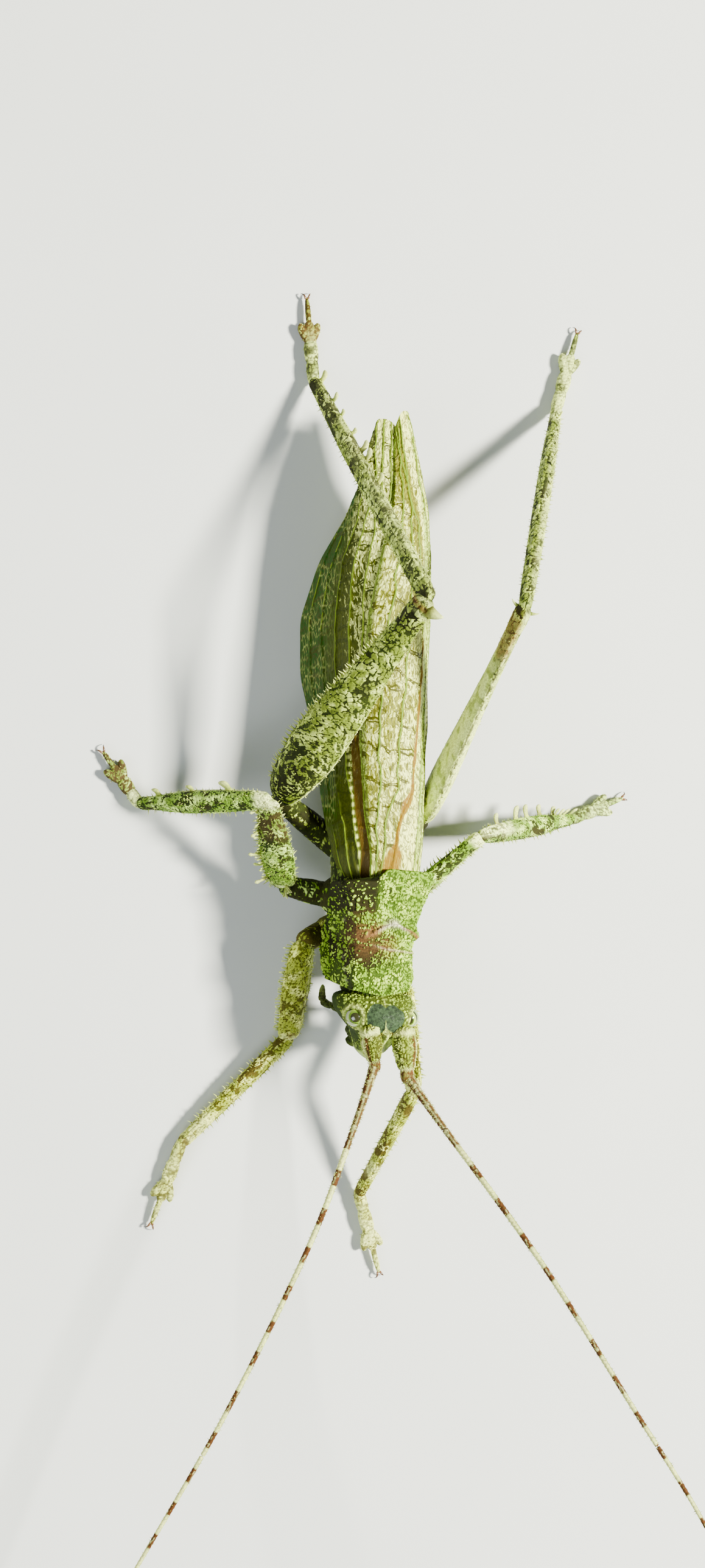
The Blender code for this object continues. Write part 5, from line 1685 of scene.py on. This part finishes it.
def limbs_of(nodes, leg, pair):
    """The straight pieces of a leg, between the joints of its solids, and the ankle and foot."""
    hip = joint_between(nodes["coxa"], nodes["femur"])
    knee = joint_between(nodes["femur"], nodes["tibia"])
    ankle = joint_between(nodes["tibia"], nodes["tarsus"])
    coxa = solid_points(nodes["coxa"])
    far = np.argsort(np.linalg.norm(coxa - hip, axis=-1))[-8:]
    root = coxa[far].mean(0)
    way = (solid_points(nodes["tarsus"]).mean(0) - ankle) * (1.0, 1.0, 0.0)
    foot = ankle + unit(way) * math.sqrt(foot_lengths[pair] ** 2 - (ankle[2] - foot_height) ** 2)
    foot[2] = foot_height
    hinge = unit(np.cross(knee - hip, ankle - knee))
    coxa_axis = unit(hip - root)
    coxa_hinge = unit(hinge - coxa_axis * (hinge @ coxa_axis))
    in_side = (1.3 * np.sign(root[0] - trunk_place[0]), ((root - trunk_place) @ trunk_turn)[1], -1.4)
    inside = in_trunk(in_side)
    base_hinge = unit(np.cross(root - inside, (0.0, 1.0, 0.0)))
    twist = hind_right_twist if leg == "hind_right" else 0.0
    limbs = {
        "base": Limb(inside, root, base_hinge, limb_shapes["base"], 0.0, 0.0, 0.5),
        "coxa": Limb(root, hip, coxa_hinge, limb_shapes["coxa"], 0.0, 0.6, 0.2),
        "femur": Limb(hip, knee, hinge, limb_shapes[pair + "_femur"], twist, 0.15, 0.1),
        "tibia": Limb(knee, ankle, hinge, limb_shapes[pair + "_tibia"], 0.0, 0.35, 0.1),
    }
    return limbs, ankle, foot


def thorns_on(rows, leg, segment, strip, number, seed):
    """The rows of thorns along one segment, and the fine spines scattered over it."""
    count = rows.shape[1]
    thorns = []
    earlier = len(thorn_rows[leg]["femur"]) if segment == "tibia" else 0
    listed = enumerate(thorn_rows[leg].get(segment, ()), earlier)
    for order, (angle, first, last, many, length, radius, *kind) in listed:
        spread = np.linspace(first, last, many)
        shift = numbers_at(np.stack([np.arange(many), 0 * np.arange(many) + order], -1), seed + 5) - 0.5
        row = (spread + shift * (last - first) / many * 0.8) * (len(rows) - 1)
        column = np.round((angle + 7 * shift) / 360 * count) % count
        picks = np.clip(row, 0, len(rows) - 1).astype(int), column.astype(int)
        kind = kind[0] if kind else "spine"
        thorns.append(bristles_on(rows, picks, length, radius, kind, strip, seed + order))
    if segment in scattered_spines[leg]:
        many, length = scattered_spines[leg][segment]
        picks = scattered(rows, many, seed + 7 + number, 0.03, 0.96)
        thorns.append(bristles_on(rows, picks, length, 0.03, "spine", strip, seed + 8, tip_value=0.7))
    return thorns


def foot_bristles(rows, leg, number, seed):
    """Bristles on the upper side of one pad of the foot."""
    many, length = scattered_spines[leg]["foot"]
    picks = scattered(rows, many // 5, seed + 80 + number, 0.15, 0.85)
    upper = rows[picks][:, 2] > 0.25
    picks = picks[0][upper], picks[1][upper]
    left, right = leg_map_strips["foot"]
    box = (left, number / 6, right, (number + 1) / 6)
    return [bristles_on(rows, picks, length, 0.028, "spine", box, seed + 9)] if len(picks[0]) else []


def add_leg(leg, finish, seed):
    pair = leg.split("_")[0]
    nodes = {part: f"leg_{leg}_{part}" for part in ("coxa", "femur", "tibia", "tarsus")}
    limbs, ankle, foot = limbs_of(nodes, leg, pair)
    step = fine_step if leg in ("hind_right", "mid_right") else plain_step
    # for each segment: corners round it, how far its two ends are rounded, which grains it wears
    rounds = {
        "base": (lobe_columns, (0.3, 0.9), "coxa"),
        "coxa": (lobe_columns, (0.3, 0.5), "coxa"),
        "femur": (femur_columns[pair], (0.6, 0.45), pair + "_femur"),
        "tibia": (tibia_columns, (0.35, 0.3), pair + "_tibia"),
    }
    skins, thorns = [], []
    for number, (segment, limb) in enumerate(limbs.items()):
        columns, domes, grain_key = rounds[segment]
        rows, values = limb_skin(leg, segment, limb, step, columns, domes, grain_key, seed + 20 * number)
        left, right = leg_map_strips[segment]
        strip = (left, 0.0, right, 1.0)
        skins.append(surface(rows, values, strip))
        thorns += thorns_on(rows, leg, segment, strip, number, seed)
    for number, (rows, skin) in enumerate(foot_surfaces(leg, ankle, foot, seed + 70)):
        skins.append(skin)
        thorns += foot_bristles(rows, leg, number, seed)
    make_piece("leg_skin_" + leg, skins, finish, tuple(nodes.values()))
    make_piece("leg_thorns_" + leg, thorns, thorn_finish, ())
    add_claws(leg, foot, unit(foot - ankle))


claw_finish = claw_horn()
thorn_finish = lichen_finish(
    "thorn_horn", (0.07, 0.09, 0.006), (0.26, 0.34, 0.03), (0.48, 0.55, 0.08),
    (0.04, 0.04, 0.004), (0.12, 0.07, 0.015), (0.76, 0.82, 0.28), bump=0.2, depth=0.015,
)
leg_finishes = {
    "hind": lichen_finish(
        "leg_hind", (0.020, 0.032, 0.001), (0.17, 0.23, 0.015), (0.62, 0.76, 0.13),
        (0.014, 0.015, 0.001), (0.15, 0.05, 0.01), (0.76, 0.86, 0.26),
    ),
    "mid": lichen_finish(
        "leg_mid", (0.016, 0.032, 0.001), (0.16, 0.29, 0.014), (0.62, 0.86, 0.16),
        (0.028, 0.028, 0.004), (0.11, 0.06, 0.02), (0.84, 0.94, 0.34),
    ),
    # The fore legs' colours are lighter than the other legs': painted light that offsets the shield's
    # shadow over them, on top of their own browner tone.
    "fore": lichen_finish(
        "leg_fore", (0.10, 0.11, 0.004), (0.36, 0.42, 0.03), (0.95, 1.0, 0.22),
        (0.08, 0.062, 0.006), (0.17, 0.065, 0.015), (0.80, 0.85, 0.28),
    ),
}
for number, leg in enumerate(leg_marks):
    add_leg(leg, leg_finishes[leg.split("_")[0]], 200 + 100 * number)


# ---------------------------------------------------------------- tail
# Under the wing tips the body ends in a broad egg-laying blade of two shining valves, flat from
# side to side, with a short pointed feeler on each side of its root.

blade_start = 15.8
blade_length = 10.4
blade_drop = 1.4
blade_rise = 0.6
blade_half_height = 0.8
blade_half_width = 0.36
tail_turn = math.radians(3.0)
tail_root = 2.1
# distance along the tail, left, back, radius
tail_feeler_stations = np.array((
    (14.6, 1.2, -1.1, 0.32), (15.5, 1.75, -1.1, 0.32), (16.0, 2.0, -1.1, 0.22), (16.2, 2.05, -1.1, 0.08),
))
blade_rows = 150
blade_columns = 60
tail_feeler_rows = 60
tail_feeler_columns = 30


def in_tail(distance, left, back):
    """Places along the tail, which is turned a little to the right."""
    distance, left, back = np.broadcast_arrays(distance, left, back)
    left = left - distance * math.sin(tail_turn)
    tail = tail_root + distance * math.cos(tail_turn)
    return in_trunk(np.stack([left, tail, back], -1))


def add_blade():
    share = np.linspace(0, 1, blade_rows)
    distance = blade_start + share * blade_length
    half_height = blade_half_height * np.sqrt(np.clip(1 - share ** 3, 0.0, 1))
    half_height = half_height * round_ends(share, 0.02, 0.02)
    half_width = (blade_half_width - 0.14 * share) * round_ends(share, 0.02, 0.04)
    centre = in_tail(distance, 0.0, blade_rise * share ** 2 - blade_drop)
    rows = rings(centre, trunk_side, trunk_up, half_width, half_height, blade_columns, 0.9)
    angle = np.linspace(0, 360, blade_columns, endpoint=False)[None, :]
    seam = hump(angle_gap(angle, 0), 0, 5) + hump(angle_gap(angle, 180), 0, 5)
    teeth = hump(np.abs(angle_gap(angle, 90)), 0, 14) * rise(share, 0.7, 0.9)[:, None]
    teeth = teeth * (0.5 + 0.5 * np.sin(share * 150))[:, None]
    rows = raised(rows, 0.07 * teeth - 0.05 * seam)
    values = {
        "grain": 0.75 - 0.6 * seam,
        "patch": 0.9 * rise(share, 0.5, 1.0)[:, None],
        "rust": 0.85 * rise(share, 0.55, 1.0)[:, None],
        "bone": 0.0,
    }
    make_piece("egg_blade", [surface(rows, values)], blade_finish, ("ovipositor",))


def add_tail_feeler(side, sign):
    route = smooth_route(tail_feeler_stations, tail_feeler_rows)
    share = np.linspace(0, 1, tail_feeler_rows)
    places = in_tail(route[:, 0], sign * route[:, 1], route[:, 2])
    rows = tube(places, route[:, 3] * round_ends(share, 0.06, 0.05), tail_feeler_columns)
    grain, own = granules(rows, 0.24, 91)
    rows = raised(rows, 0.03 * grain)
    values = {"grain": 0.3 + 0.6 * grain, "patch": 0.4, "rust": 0.3 * share[:, None], "bone": 0.3 * own}
    picks = scattered(rows, 50, 92, 0.3, 0.95)
    tufts = bristles_on(rows, picks, 0.22, thread_bristle_radius, "spine", whole_map, 93)
    skins = [surface(rows, values), tufts]
    make_piece("tail_feeler_" + side, skins, feeler_finish, ("cercus_" + side,))


blade_finish = lichen_finish(
    "blade_horn", (0.02, 0.03, 0.002), (0.12, 0.19, 0.008), (0.26, 0.30, 0.02),
    (0.02, 0.015, 0.002), (0.08, 0.02, 0.003), (0.45, 0.5, 0.12), bump=0.3, depth=0.02,
)
add_blade()
for side, sign in (("left", 1), ("right", -1)):
    add_tail_feeler(side, sign)
